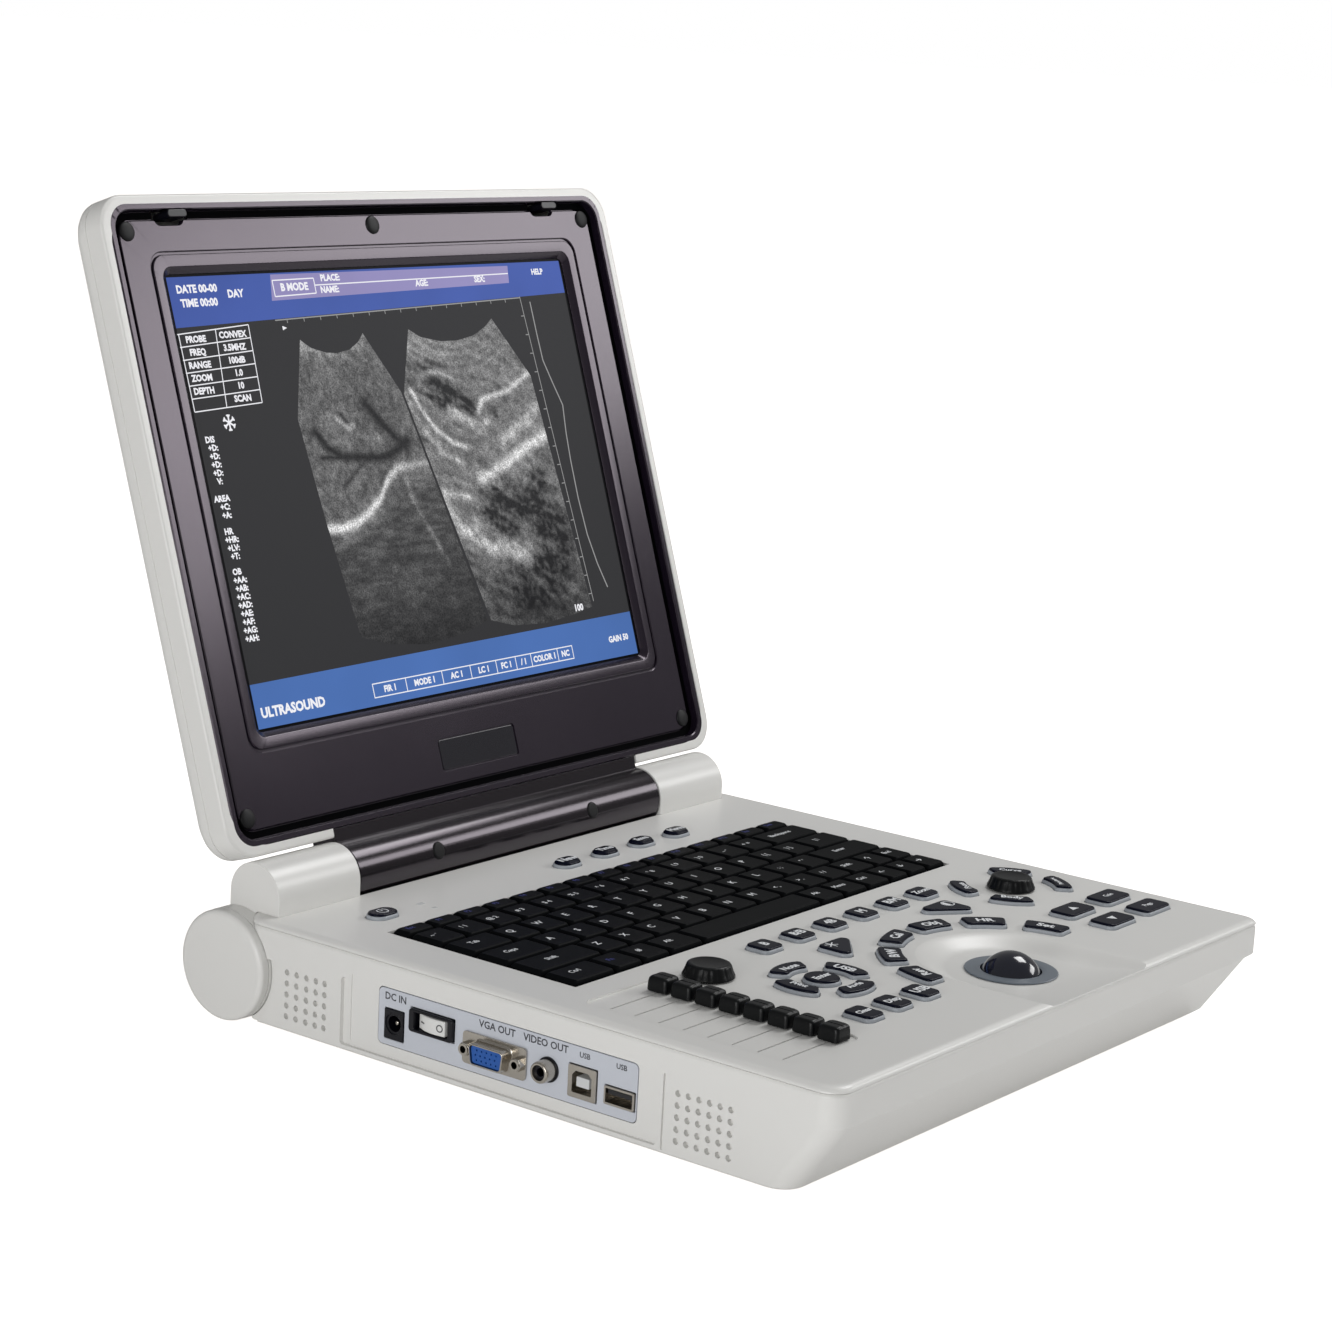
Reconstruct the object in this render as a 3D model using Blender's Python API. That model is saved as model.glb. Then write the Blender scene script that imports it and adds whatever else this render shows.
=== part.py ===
"""Laptop-style veterinary ultrasound scanner: a case with a control deck, a rear battery barrel and
a hinged lid that holds the screen. Metres, +Z up. The user sits at -Y, and the sockets face -X.

Depths called v run from the case's front edge towards the rear, and heights from the case's underside.
Lid parts are drawn in the lid's own frame: X across, Y towards its back, Z up along the lid from the
hinge axis.
"""

import math

import bmesh
import bpy
from mathutils import Matrix, Vector

MM = 0.001
GAP = 0.3 * MM

# Where the frame's origin is: under the middle of the bounding box, on the surface it stands on
FRONT_Y = -193.6 * MM
FOOT_HEIGHT = 2.5 * MM

# Case
CASE_LEFT = -152.5 * MM
CASE_RIGHT = 156.5 * MM
CASE_REAR_V = 284.0 * MM
CASE_CORNERS = (10.0 * MM, 5.0 * MM, 10.0 * MM, 10.0 * MM)
WALL = 2.5 * MM
CREASE_Z = 27.2 * MM
SEAM_Z = 39.6 * MM
DECK_TOP_Z = 42.4 * MM
DECK_UNDER_Z = SEAM_Z + GAP
FRONT_SLOPE = 18.5 * MM
TRAY_RIGHT_TOP = 149.0 * MM
TRAY_RIGHT_BOTTOM = 149.0 * MM

# Rear barrel, which holds the battery
BARREL_V = 292.5 * MM
BARREL_Z = 20.3 * MM
BARREL_R = 22.5 * MM
BARREL_END = 151.6 * MM
BARREL_CAP_FACE = 156.5 * MM
BATTERY_BORE_R = 15.0 * MM
BATTERY_BORE_Z = 16.5 * MM
BATTERY_R = 14.2 * MM

# Lid hinge
HINGE_V = 285.2 * MM
HINGE_Z = 48.4 * MM
HINGE_TILT = math.radians(18.32)
HINGE_COVER_R = 13.6 * MM
HINGE_COVER_INNER = 98.9 * MM
HINGE_COVER_OUTER = 145.6 * MM
HINGE_BARREL_R = 13.2 * MM
HINGE_SHAFT_R = 5.0 * MM
HINGE_SHAFT_END = 114.0 * MM
SADDLE_R = 14.0 * MM

# Lid, in its own frame
LID_FRONT = -3.56 * MM
LID_HALF = 157.0 * MM
LID_FOOT = 14.9 * MM
LID_TOP = 280.9 * MM
LID_THICK = 20.0 * MM
LID_CORNER = 13.0 * MM
BEZEL_HALF = 152.4 * MM
BEZEL_FOOT = 18.8 * MM
BEZEL_TOP = 277.4 * MM
BEZEL_DEPTH = 5.7 * MM
BEZEL_LIP = 2.8 * MM
BEZEL_RECESS = 3.0 * MM
GROOVE_WIDTH = 3.5 * MM
GROOVE_DEPTH = 4.4 * MM
SCREEN_HALF = 126.4 * MM
SCREEN_FOOT = 60.9 * MM
SCREEN_TOP = 251.3 * MM
LCD_DEPTH = 6.0 * MM
LCD_THICK = 6.0 * MM
BUMPER_X = 141.6 * MM
BUMPER_R = 4.0 * MM
LATCH_X = 116.0 * MM
LATCH_HEIGHT = 273.0 * MM

# Deck controls, in millimetres: x from the middle and v from the front edge
KEY_WELL = (-128.5, 128.5, 135.0, 230.0)
KEY_TOP_Z = 43.4 * MM
KEY_PITCH = 17.0
KEY_ROW_PITCH = 16.7
KEY_ROWS = (
    [1.5, 1, 1, 1.25, 4.75, 1, 1, 1, 0.83, 0.83, 0.84],
    [2.25] + [1] * 10 + [1.05, 0.85, 0.85],
    [1.75] + [1] * 11 + [2.25],
    [1.5] + [1] * 12 + [1.5],
    [1] * 13 + [2],
    [1] * 15,
)
CAP_RISE = 2.3
FUNCTION_RISE = 2.8
BUTTON_FOOT_Z = 37.4 * MM
BALL_SPOT = (24.5, 40.0)
BALL_R = 12.7 * MM
BALL_SINK = 4.7 * MM
BOWL_FLOOR_Z = 38.0 * MM
BOWL_R = 37.0
ARC_RADIUS = 48.0
KNOB_SPOTS = {"knob_left": (-81.5, 108.7), "knob_right": (114.5, 95.7)}
KNOB_HEIGHT = 5.8 * MM
RING_SPOT = (-54.4, 75.5)
SLIDER_COUNT = 8
SLIDER_FIRST_V = 34.3
SLIDER_PITCH = 11.0
SLIDER_X = -106.0
SLIDER_TRAVEL = 28.0
SLIDER_WELL = (-141.0, -98.0, 27.0, 122.0)
SLIDER_WELL_DEPTH = 0.8 * MM

# Sockets on the left side, in millimetres: distance from the front edge (v) and height
PORT_PLATE = (85.8, 211.2, 8.0, 30.3)
PORT_DEPTH = 11.0 * MM

COLOURS = {
    "case_white": ((0.78, 0.78, 0.76), 0.42, 0.0),
    "key_black": ((0.012, 0.013, 0.016), 0.45, 0.0),
    "satin_black": ((0.02, 0.018, 0.022), 0.32, 0.0),
    "cap_navy": ((0.010, 0.011, 0.026), 0.35, 0.0),
    "ball_navy": ((0.018, 0.02, 0.045), 0.08, 0.0),
    "ring_grey": ((0.14, 0.16, 0.19), 0.4, 0.0),
    "plate_lavender": ((0.53, 0.55, 0.62), 0.45, 0.0),
    "nickel": ((0.62, 0.58, 0.5), 0.3, 1.0),
    "screen_glass": ((0.02, 0.022, 0.03), 0.12, 0.0),
    "rubber_black": ((0.03, 0.03, 0.03), 0.8, 0.0),
    "board_green": ((0.02, 0.12, 0.05), 0.5, 0.0),
    "battery_blue": ((0.05, 0.1, 0.3), 0.5, 0.0),
    "switch_white": ((0.75, 0.75, 0.72), 0.4, 0.0),
}

SEAT = Vector((0.0, FRONT_Y, FOOT_HEIGHT))
AXLE = SEAT + Vector((0.0, HINGE_V, HINGE_Z))


def clear_scene():
    for item in list(bpy.data.objects):
        bpy.data.objects.remove(item, do_unlink=True)


def new_collection(name):
    group = bpy.data.collections.new(name)
    bpy.context.scene.collection.children.link(group)
    return group


def make_material(name):
    colour, roughness, metallic = COLOURS[name]
    material = bpy.data.materials.new(name)
    material.use_nodes = True
    shader = material.node_tree.nodes["Principled BSDF"]
    shader.inputs["Base Color"].default_value = (*colour, 1.0)
    shader.inputs["Roughness"].default_value = roughness
    shader.inputs["Metallic"].default_value = metallic
    return material


def millimetres(points):
    """Panel points in millimetres as metres from the case's front edge."""
    return [(x * MM, v * MM) for x, v in points]


def rounded(corners, radius, steps=3):
    """A closed outline through the corners, each turned into an arc. The radius is one, or one for each."""
    outline = []
    count = len(corners)
    radii = radius if isinstance(radius, tuple) else (radius,) * count
    for i in range(count):
        here = Vector(corners[i])
        before = (Vector(corners[i - 1]) - here).normalized()
        after = (Vector(corners[(i + 1) % count]) - here).normalized()
        half = before.angle(after) / 2
        reach = radii[i] / math.tan(half)
        centre = here + (before + after).normalized() * (radii[i] / math.sin(half))
        start = here + before * reach - centre
        end = here + after * reach - centre
        turn = start.angle_signed(end)
        for step in range(steps + 1):
            arm = start.copy()
            arm.rotate(Matrix.Rotation(-turn * step / steps, 2))
            outline.append(tuple(centre + arm))
    return outline


def rectangle(x0, x1, y0, y1):
    return [(x0, y0), (x1, y0), (x1, y1), (x0, y1)]


def rounded_rectangle(x0, x1, y0, y1, radius, steps=3):
    return rounded(rectangle(x0, x1, y0, y1), radius, steps)


def circle(cx, cy, radius, steps=24):
    turns = [2 * math.pi * i / steps for i in range(steps)]
    return [(cx + radius * math.cos(t), cy + radius * math.sin(t)) for t in turns]


def grown(outline, margin):
    """The outline moved outwards by the margin."""
    count = len(outline)
    result = []
    for i in range(count):
        here = Vector(outline[i])
        before = (here - Vector(outline[i - 1])).normalized()
        after = (Vector(outline[(i + 1) % count]) - here).normalized()
        side = Vector((before.y, -before.x)) + Vector((after.y, -after.x))
        side.normalize()
        lean = max(0.5, side.dot(Vector((after.y, -after.x))))
        result.append(tuple(here + side * (margin / lean)))
    return result


def loft(sections):
    """A closed mesh through outlines of equal count, each a list of 3D points, with flat ends."""
    shape = bmesh.new()
    rings = [[shape.verts.new(point) for point in section] for section in sections]
    for low, high in zip(rings, rings[1:]):
        for i in range(len(low)):
            j = (i + 1) % len(low)
            shape.faces.new((low[i], low[j], high[j], high[i]))
    shape.faces.new(reversed(rings[0]))
    shape.faces.new(rings[-1])
    bmesh.ops.recalc_face_normals(shape, faces=shape.faces)
    return shape


def upright(outline, low, high):
    """A prism of the outline along Z, from one height to another."""
    return loft([[(x, y, z) for x, y in outline] for z in (low, high)])


def sideways(outline, low, high):
    """A prism of a (y, z) outline along X."""
    return loft([[(x, y, z) for y, z in outline] for x in (low, high)])


def box(x0, x1, y0, y1, z0, z1):
    return upright(rectangle(x0, x1, y0, y1), z0, z1)


def rod(x0, x1, cy, cz, radius, steps=32):
    """A cylinder along X."""
    return sideways(circle(cy, cz, radius, steps), x0, x1)


def merged(shapes):
    """Several meshes in one, without joining their surfaces."""
    whole = bmesh.new()
    for shape in shapes:
        piece = bpy.data.meshes.new("piece")
        shape.to_mesh(piece)
        whole.from_mesh(piece)
        shape.free()
        bpy.data.meshes.remove(piece)
    return whole


def moved(shape, offset):
    bmesh.ops.translate(shape, vec=offset, verts=shape.verts)
    return shape


def mesh_object(name, shape, group, material=None, origin=(0, 0, 0), smooth=None):
    """An object from the mesh, with its origin at the given point of the mesh's frame."""
    bmesh.ops.translate(shape, vec=-Vector(origin), verts=shape.verts)
    mesh = bpy.data.meshes.new(name)
    shape.to_mesh(mesh)
    shape.free()
    if smooth is not None:
        mesh.shade_smooth()
        mesh.set_sharp_from_angle(angle=math.radians(smooth))
    item = bpy.data.objects.new(name, mesh)
    item.location = origin
    group.objects.link(item)
    if material:
        mesh.materials.append(material)
    return item


class Workshop:
    """The collections, materials and pivots that every part is made with."""

    def __init__(self):
        self.parts = new_collection("ultrasound_scanner")
        self.tools = new_collection("cutters")
        self.materials = {name: make_material(name) for name in COLOURS}
        self.lid = bpy.data.objects.new("lid_pivot", None)
        self.lid.location = AXLE
        self.lid.rotation_euler = (-HINGE_TILT, 0.0, 0.0)
        self.parts.objects.link(self.lid)

    def part(self, name, shape, material, origin=(0, 0, 0), smooth=35, on_lid=False):
        item = mesh_object(name, shape, self.parts, self.materials[material], origin, smooth)
        if on_lid:
            item.parent = self.lid
        return item

    def combine(self, item, shapes, operation):
        """Cuts the shapes from the item or joins them to it. They are in the item's parent frame."""
        tool = mesh_object(item.name + "_" + operation.lower(), merged(shapes), self.tools)
        tool.hide_render = True
        tool.display_type = "WIRE"
        tool.parent = item.parent
        change = item.modifiers.new(operation.lower(), "BOOLEAN")
        change.object = tool
        change.operation = operation
        change.solver = "EXACT"

    def cut(self, item, shapes):
        self.combine(item, shapes, "DIFFERENCE")

    def join(self, item, shapes):
        self.combine(item, shapes, "UNION")


def seat(shape):
    """A shape drawn from the case's front edge and underside, moved to its place."""
    return moved(shape, SEAT)


def spot(x, v, z=DECK_TOP_Z):
    """A point over the panel, for x and v in millimetres."""
    return SEAT + Vector((x * MM, v * MM, z))


# ---------------------------------------------------------------- case


def case_section(z, left, right, front, inset=0.0):
    outline = rounded_rectangle(left + inset, right - inset, front + inset, CASE_REAR_V, CASE_CORNERS)
    return [(x, y, z) for x, y in outline]


def barrel_space(low, high):
    return rod(low, high, BARREL_V, BARREL_Z, BARREL_R + GAP, 44)


def make_bottom_case(shop):
    low_z, round_z = 0.0, 2.0 * MM
    slope = FRONT_SLOPE * (1 - round_z / CREASE_Z)
    outer = [
        case_section(low_z, CASE_LEFT, TRAY_RIGHT_BOTTOM, FRONT_SLOPE, 1.2 * MM),
        case_section(round_z, CASE_LEFT, TRAY_RIGHT_BOTTOM, slope),
        case_section(CREASE_Z, CASE_LEFT, TRAY_RIGHT_TOP, 0.0),
        case_section(CREASE_Z + 0.5 * MM, CASE_LEFT, CASE_RIGHT, 0.0),
        case_section(SEAM_Z, CASE_LEFT, CASE_RIGHT, 0.0),
    ]
    inner = [
        case_section(WALL, CASE_LEFT + WALL, TRAY_RIGHT_BOTTOM - WALL, FRONT_SLOPE + WALL, 1.5 * MM),
        case_section(round_z + WALL, CASE_LEFT + WALL, TRAY_RIGHT_BOTTOM - WALL, slope + WALL),
        case_section(CREASE_Z, CASE_LEFT + WALL, TRAY_RIGHT_TOP - WALL, WALL),
        case_section(SEAM_Z + WALL, CASE_LEFT + WALL, TRAY_RIGHT_TOP - WALL, WALL),
    ]
    case = shop.part("bottom_case", seat(loft(outer)), "case_white")
    v0, v1, z0, z1 = [value * MM for value in PORT_PLATE]
    face = CASE_LEFT + 1.0 * MM
    far = CASE_LEFT - 5.0 * MM
    window = rounded_rectangle(v0 - GAP, v1 + GAP, z0 - GAP, z1 + GAP, 2.3 * MM)
    grooves = [
        box(far, face, 226.2 * MM, 231.5 * MM, 1.3 * MM, 30.3 * MM),
        box(far, face, 72.9 * MM, 74.5 * MM, 1.3 * MM, 30.3 * MM),
        box(far, face, 78.0 * MM, 221.0 * MM, 2.4 * MM, 5.3 * MM),
    ]
    spaces = [loft(inner), barrel_space(CASE_LEFT * 1.1, CASE_RIGHT * 1.1)]
    shop.cut(case, [seat(spaces[0])])
    shop.cut(case, [seat(spaces[1])])
    shop.cut(case, [seat(sideways(window, far, CASE_LEFT + 2 * WALL))] + [seat(part) for part in grooves])


def deck_section(z, inset):
    outline = rounded_rectangle(
        CASE_LEFT + inset, CASE_RIGHT - inset, inset, CASE_REAR_V, CASE_CORNERS
    )
    return [(x, y, z) for x, y in outline]


def bowl_shape():
    """The space over the trackball's bowl and the palm dip that runs from it to the front edge."""
    cx, cy = [value * MM for value in BALL_SPOT]
    high = DECK_TOP_Z + 1.0 * MM
    slope = (BOWL_R - 28.0) * MM / (DECK_TOP_Z - BOWL_FLOOR_Z)
    wide = BOWL_R * MM + slope * 1.0 * MM
    rings = ((28.0 * MM, BOWL_FLOOR_Z), (wide, high))
    bowl = loft([[(x, y, z) for x, y in circle(cx, cy, r, 40)] for r, z in rings])
    half = 26.0 * MM
    lip = DECK_TOP_Z - 1.2 * MM
    profile = [(-2.0 * MM, lip), (cy, BOWL_FLOOR_Z + 0.01 * MM), (cy, high), (-2.0 * MM, high)]
    sections = []
    for x, lean in ((cx - half - 10 * MM, 1), (cx - half, 0), (cx + half, 0), (cx + half + 10 * MM, 1)):
        rise = high - 0.5 * MM
        sections.append([(x, y, z + (rise - z) * lean if z < rise else z) for y, z in profile])
    return bowl, loft(sections)


def make_top_case(shop):
    sections = [
        deck_section(DECK_UNDER_Z, 0.0),
        deck_section(DECK_TOP_Z - 1.6 * MM, 0.0),
        deck_section(DECK_TOP_Z - 0.5 * MM, 0.5 * MM),
        deck_section(DECK_TOP_Z, 1.8 * MM),
    ]
    deck = shop.part("top_case", seat(loft(sections)), "case_white")
    cx, cy = [value * MM for value in BALL_SPOT]
    shop.join(deck, [seat(upright(circle(cx, cy, 36.0 * MM, 40), 36.4 * MM, DECK_UNDER_Z + 1 * MM))])
    bowl, dip = bowl_shape()
    low, high = 30.0 * MM, DECK_TOP_Z + 5 * MM
    x0, x1, v0, v1 = [value * MM for value in KEY_WELL]
    holes = [box(x0, x1, v0, v1, low, high)]
    for outline in button_outlines().values():
        for shape in outline:
            holes.append(upright(grown(millimetres(shape), 0.4 * MM), low, high))
    for v in slider_rows():
        slot = (SLIDER_X - SLIDER_TRAVEL - 3.2, SLIDER_X + 3.2, v - 0.9, v + 0.9)
        holes.append(box(*[value * MM for value in slot], low, high))
    for x, v in KNOB_SPOTS.values():
        holes.append(upright(circle(x * MM, v * MM, 3.4 * MM, 16), low, high))
    holes.append(upright(circle(cx, cy, 15.4 * MM, 32), low, high))
    x0, x1, v0, v1 = [value * MM for value in SLIDER_WELL]
    well = upright(rounded_rectangle(x0, x1, v0, v1, 4 * MM), DECK_TOP_Z - SLIDER_WELL_DEPTH, high)
    inner = HINGE_COVER_INNER
    trough = box(-inner, inner, 272.2 * MM, CASE_REAR_V + WALL, low, high)
    shop.cut(deck, [seat(bowl)])
    shop.cut(deck, [seat(dip)])
    shop.cut(deck, [seat(well), seat(trough)])
    shop.cut(deck, [seat(hole) for hole in holes])
    shop.cut(deck, [seat(barrel_space(CASE_LEFT * 1.1, CASE_RIGHT * 1.1))])


def make_rear_barrel(shop):
    barrel = shop.part(
        "rear_barrel", seat(rod(-BARREL_END, BARREL_END, BARREL_V, BARREL_Z, BARREL_R, 44)), "case_white"
    )
    bore = rod(-BARREL_END * 1.1, BARREL_END * 1.1, BARREL_V, BATTERY_BORE_Z, BATTERY_BORE_R)
    inner = HINGE_COVER_INNER
    saddle = rod(-inner, inner, HINGE_V, HINGE_Z, SADDLE_R, 40)
    reach = HINGE_SHAFT_END + 1 * MM
    channel = rod(-reach, reach, HINGE_V, HINGE_Z, HINGE_SHAFT_R + GAP, 24)
    shop.cut(barrel, [seat(bore), seat(saddle)])
    shop.cut(barrel, [seat(channel)])
    length = 136.0 * MM
    battery = rod(-length, length, BARREL_V, BATTERY_BORE_Z, BATTERY_R, 24)
    shop.part("battery_pack", seat(battery), "battery_blue")


def make_barrel_cap(shop, side):
    """A disc with a softened rim on the barrel's end, with a plug that enters its bore."""
    name = "barrel_cap_left" if side < 0 else "barrel_cap_right"
    near = BARREL_END + GAP
    rings = (
        (BATTERY_R, near - 8 * MM),
        (BATTERY_R, near),
        (BARREL_R, near),
        (BARREL_R, BARREL_CAP_FACE - 1.2 * MM),
        (BARREL_R - 0.4 * MM, BARREL_CAP_FACE - 0.4 * MM),
        (BARREL_R - 1.4 * MM, BARREL_CAP_FACE),
    )
    sections = []
    for radius, x in rings:
        centre = BATTERY_BORE_Z if radius == BATTERY_R else BARREL_Z
        sections.append([(side * x, y, z) for y, z in circle(BARREL_V, centre, radius, 44)])
    shop.part(name, seat(loft(sections)), "case_white")


def make_feet(shop):
    for name, v in (("foot_front", 34.0), ("foot_rear", 250.0)):
        outline = rounded_rectangle(-120 * MM, 120 * MM, (v - 5) * MM, (v + 5) * MM, 3 * MM)
        shop.part(name, seat(upright(outline, -FOOT_HEIGHT, -GAP)), "rubber_black")


def make_main_board(shop):
    """The circuit board, on four standoffs that rest over the case's floor."""
    x0, x1, v0, v1 = -125 * MM, 115 * MM, 62 * MM, 250 * MM
    board = shop.part("main_board", seat(box(x0, x1, v0, v1, 5.0 * MM, 6.6 * MM)), "board_green")
    inset = 6 * MM
    corners = [(x, v) for x in (x0 + inset, x1 - inset) for v in (v0 + inset, v1 - inset)]
    standoffs = [upright(circle(x, v, 3 * MM, 8), WALL + GAP, 5.5 * MM) for x, v in corners]
    shop.join(board, [seat(standoff) for standoff in standoffs])


# ---------------------------------------------------------------- deck controls


def oval(x, v, width, depth):
    return rounded_rectangle(x - width / 2, x + width / 2, v - depth / 2, v + depth / 2, depth * 0.49, 4)


def block(x, v, width, depth, radius=3.0):
    return rounded_rectangle(x - width / 2, x + width / 2, v - depth / 2, v + depth / 2, radius)


def arc_block(centre, radius, width, start, end, steps=5):
    """A block bent along a circle, from one angle to another in degrees."""
    cx, cy = centre
    outline = []
    for reach, first, last in ((radius + width / 2, start, end), (radius - width / 2, end, start)):
        for i in range(steps + 1):
            angle = math.radians(first + (last - first) * i / steps)
            outline.append((cx + reach * math.cos(angle), cy + reach * math.sin(angle)))
    return outline


def petals():
    """The four curved keys at the corners of the right knob."""
    centre = KNOB_SPOTS["knob_right"]
    names = {"focus_button": 32.4, "curved_button": 327.6, "body_button": 212.4, "slant_button": 147.6}
    return {name: [arc_block(centre, 22.7, 8.0, angle - 23, angle + 23)] for name, angle in names.items()}


def button_outlines():
    """Every button's outlines on the panel, in millimetres. A pad has several."""
    found = {"power_button": [oval(-113.7, 246.0, 14.5, 9.8)]}
    for i, x in enumerate((0.6, 26.0, 51.2, 76.0)):
        found[f"function_button_{i + 1}"] = [oval(x, 245.3, 14.0, 9.6)]
    for i in range(6):
        found[f"mode_button_{i + 1}"] = [block(-36.2 + 22.34 * i, 115.4, 12.8, 12.0)]
    found["freeze_button"] = [rounded([(-22.7, 101.1), (-22.7, 82.5), (1.7, 101.1)], 3.2)]
    found["contrast_button"] = [rounded([(47.0, 102.5), (72.0, 83.5), (72.0, 102.5)], 3.2)]
    found.update(petals())
    found["cursor_pad"] = [block(x, v, 21.0, 12.7, 2.6) for x in (101.2, 130.4) for v in (39.0, 57.8)]
    found["arc_pad"] = [
        arc_block(BALL_SPOT, ARC_RADIUS, 10.5, angle - 11, angle + 11) for angle in range(15, 180, 30)
    ]
    found["trio_pad"] = [block(x, 40.4, 11.6, 13.7) for x in (-78.1, -59.2, -40.4)]
    found["ring_centre"] = [circle(*RING_SPOT, 7.5, 16)]
    found["ring_petals"] = [
        arc_block(RING_SPOT, 16.5, 8.5, angle - 33, angle + 33) for angle in (0, 90, 180, 270)
    ]
    return found




def pad_web(name):
    """The strip under the deck that joins a pad's buttons, as (x, v) outlines."""
    if name == "cursor_pad":
        return [rectangle(92.0, 139.0, 36.0, 61.0)]
    if name == "arc_pad":
        return [arc_block(BALL_SPOT, ARC_RADIUS, 6.0, 8, 172, 24)]
    if name == "trio_pad":
        return [rectangle(-83.0, -37.0, 37.0, 44.0)]
    if name == "ring_petals":
        return [circle(*RING_SPOT, 19.0, 24)]
    return []


def make_buttons(shop):
    for name, outlines in button_outlines().items():
        rise = FUNCTION_RISE if name.startswith("function") else CAP_RISE
        top = DECK_TOP_Z + rise * MM
        middle_x = sum(x for outline in outlines for x, _ in outline) / sum(map(len, outlines))
        middle_v = sum(v for outline in outlines for _, v in outline) / sum(map(len, outlines))
        web = pad_web(name)
        columns = [upright(millimetres(outline), BUTTON_FOOT_Z - (0.5 * MM if web else 0), top)
                   for outline in outlines]
        origin = spot(middle_x, middle_v)
        if not web:
            shop.part(name, seat(columns[0]), "cap_navy", origin)
            continue
        base = upright(millimetres(web[0]), BUTTON_FOOT_Z - 1.0 * MM, DECK_UNDER_Z - 2 * GAP)
        pad = shop.part(name, seat(base), "cap_navy", origin)
        shop.join(pad, [seat(merged(columns))])
        if name == "ring_petals":
            hole = circle(RING_SPOT[0] * MM, RING_SPOT[1] * MM, 8.4 * MM, 24)
            shop.cut(pad, [seat(upright(hole, 20 * MM, 60 * MM))])


def make_keyboard(shop):
    x0, x1, v0, v1 = KEY_WELL
    floor = 40.4 * MM
    plate = box((x0 + 0.4) * MM, (x1 - 0.4) * MM, (v0 + 0.4) * MM, (v1 - 0.4) * MM, 37.5 * MM, floor)
    keyboard = shop.part("keyboard", seat(plate), "key_black")
    keys = []
    for row, widths in enumerate(KEY_ROWS):
        front = v0 + 0.9 + KEY_ROW_PITCH * row
        depth = KEY_ROW_PITCH if row < 5 else v1 - 0.9 - front
        left = -KEY_PITCH * 7.5
        for width in widths:
            right = left + width * KEY_PITCH
            foot = rectangle(left + 0.5, right - 0.5, front + 0.5, front + depth - 0.5)
            top = rectangle(left + 1.5, right - 1.5, front + 1.3, front + depth - 1.7)
            levels = ((foot, floor - 1.0 * MM), (foot, floor + 1.2 * MM), (top, KEY_TOP_Z))
            keys.append(loft([[(x, y, z) for x, y in millimetres(ring)] for ring, z in levels]))
            left = right
    shop.join(keyboard, [seat(merged(keys))])


def slider_rows():
    return [SLIDER_FIRST_V + SLIDER_PITCH * i for i in range(SLIDER_COUNT)]


def make_sliders(shop):
    """Gain sliders: a cap over the deck and a stem through its slot."""
    low = DECK_TOP_Z - SLIDER_WELL_DEPTH + 0.4 * MM
    top = DECK_TOP_Z + 5.4 * MM
    for i, v in enumerate(slider_rows()):
        foot = millimetres(block(SLIDER_X, v, 9.2, 9.3, 1.0))
        head = millimetres(block(SLIDER_X, v, 7.6, 7.8, 1.0))
        levels = ((foot, low), (foot, low + 4.6 * MM), (head, top))
        cap = loft([[(x, y, z) for x, y in ring] for ring, z in levels])
        slider = shop.part(f"slider_{i + 1}", seat(cap), "satin_black", spot(SLIDER_X, v))
        stem = [value * MM for value in (SLIDER_X - 2.4, SLIDER_X + 2.4, v - 0.5, v + 0.5)]
        shop.join(slider, [seat(box(*stem, 34.0 * MM, low + 1 * MM))])


def lathe(rings, centre, steps):
    """A solid turned about a vertical line, from (radius, height) pairs from the bottom up."""
    cx, cy = centre
    return loft([[(x, y, z) for x, y in circle(cx, cy, radius, steps)] for radius, z in rings])


def make_knobs(shop):
    base = DECK_TOP_Z + 0.4 * MM
    top = DECK_TOP_Z + KNOB_HEIGHT
    rings = (
        (3.0 * MM, 34.0 * MM),
        (3.0 * MM, base),
        (10.2 * MM, base),
        (10.2 * MM, base + 0.8 * MM),
        (8.3 * MM, top - 0.9 * MM),
        (7.5 * MM, top),
    )
    for name, (x, v) in KNOB_SPOTS.items():
        shape = lathe(rings, (x * MM, v * MM), 24)
        shop.part(name, seat(shape), "satin_black", spot(x, v), smooth=30)


def make_trackball(shop):
    cx, cy = [value * MM for value in BALL_SPOT]
    centre = SEAT + Vector((cx, cy, BOWL_FLOOR_Z - BALL_SINK))
    ball = bmesh.new()
    bmesh.ops.create_uvsphere(ball, u_segments=20, v_segments=12, radius=BALL_R)
    shop.part("trackball", moved(ball, centre), "ball_navy", centre, smooth=180)
    flange = BOWL_FLOOR_Z + GAP
    outside = (
        (14.6 * MM, 22.0 * MM),
        (14.6 * MM, flange),
        (18.5 * MM, flange),
        (18.2 * MM, flange + 0.6 * MM),
    )
    ring = shop.part("trackball_ring", seat(lathe(outside, (cx, cy), 28)), "ring_grey", smooth=30)
    socket = BALL_R + 0.6 * MM
    inside = [(4.0 * MM, 15.0 * MM), (4.0 * MM, BOWL_FLOOR_Z - BALL_SINK - socket * math.cos(math.asin(0.3)))]
    for angle in range(-60, 30, 20):
        turn = math.radians(angle)
        inside.append((socket * math.cos(turn), BOWL_FLOOR_Z - BALL_SINK + socket * math.sin(turn)))
    inside.append((socket * math.cos(turn), flange + 3.0 * MM))
    shop.cut(ring, [seat(lathe(inside, (cx, cy), 28))])


# ---------------------------------------------------------------- sockets


def port_box(v0, v1, z0, z1, proud, depth=PORT_DEPTH):
    outer = CASE_LEFT - proud
    return box(outer, CASE_LEFT + depth, v0 * MM, v1 * MM, z0 * MM, z1 * MM)


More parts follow.
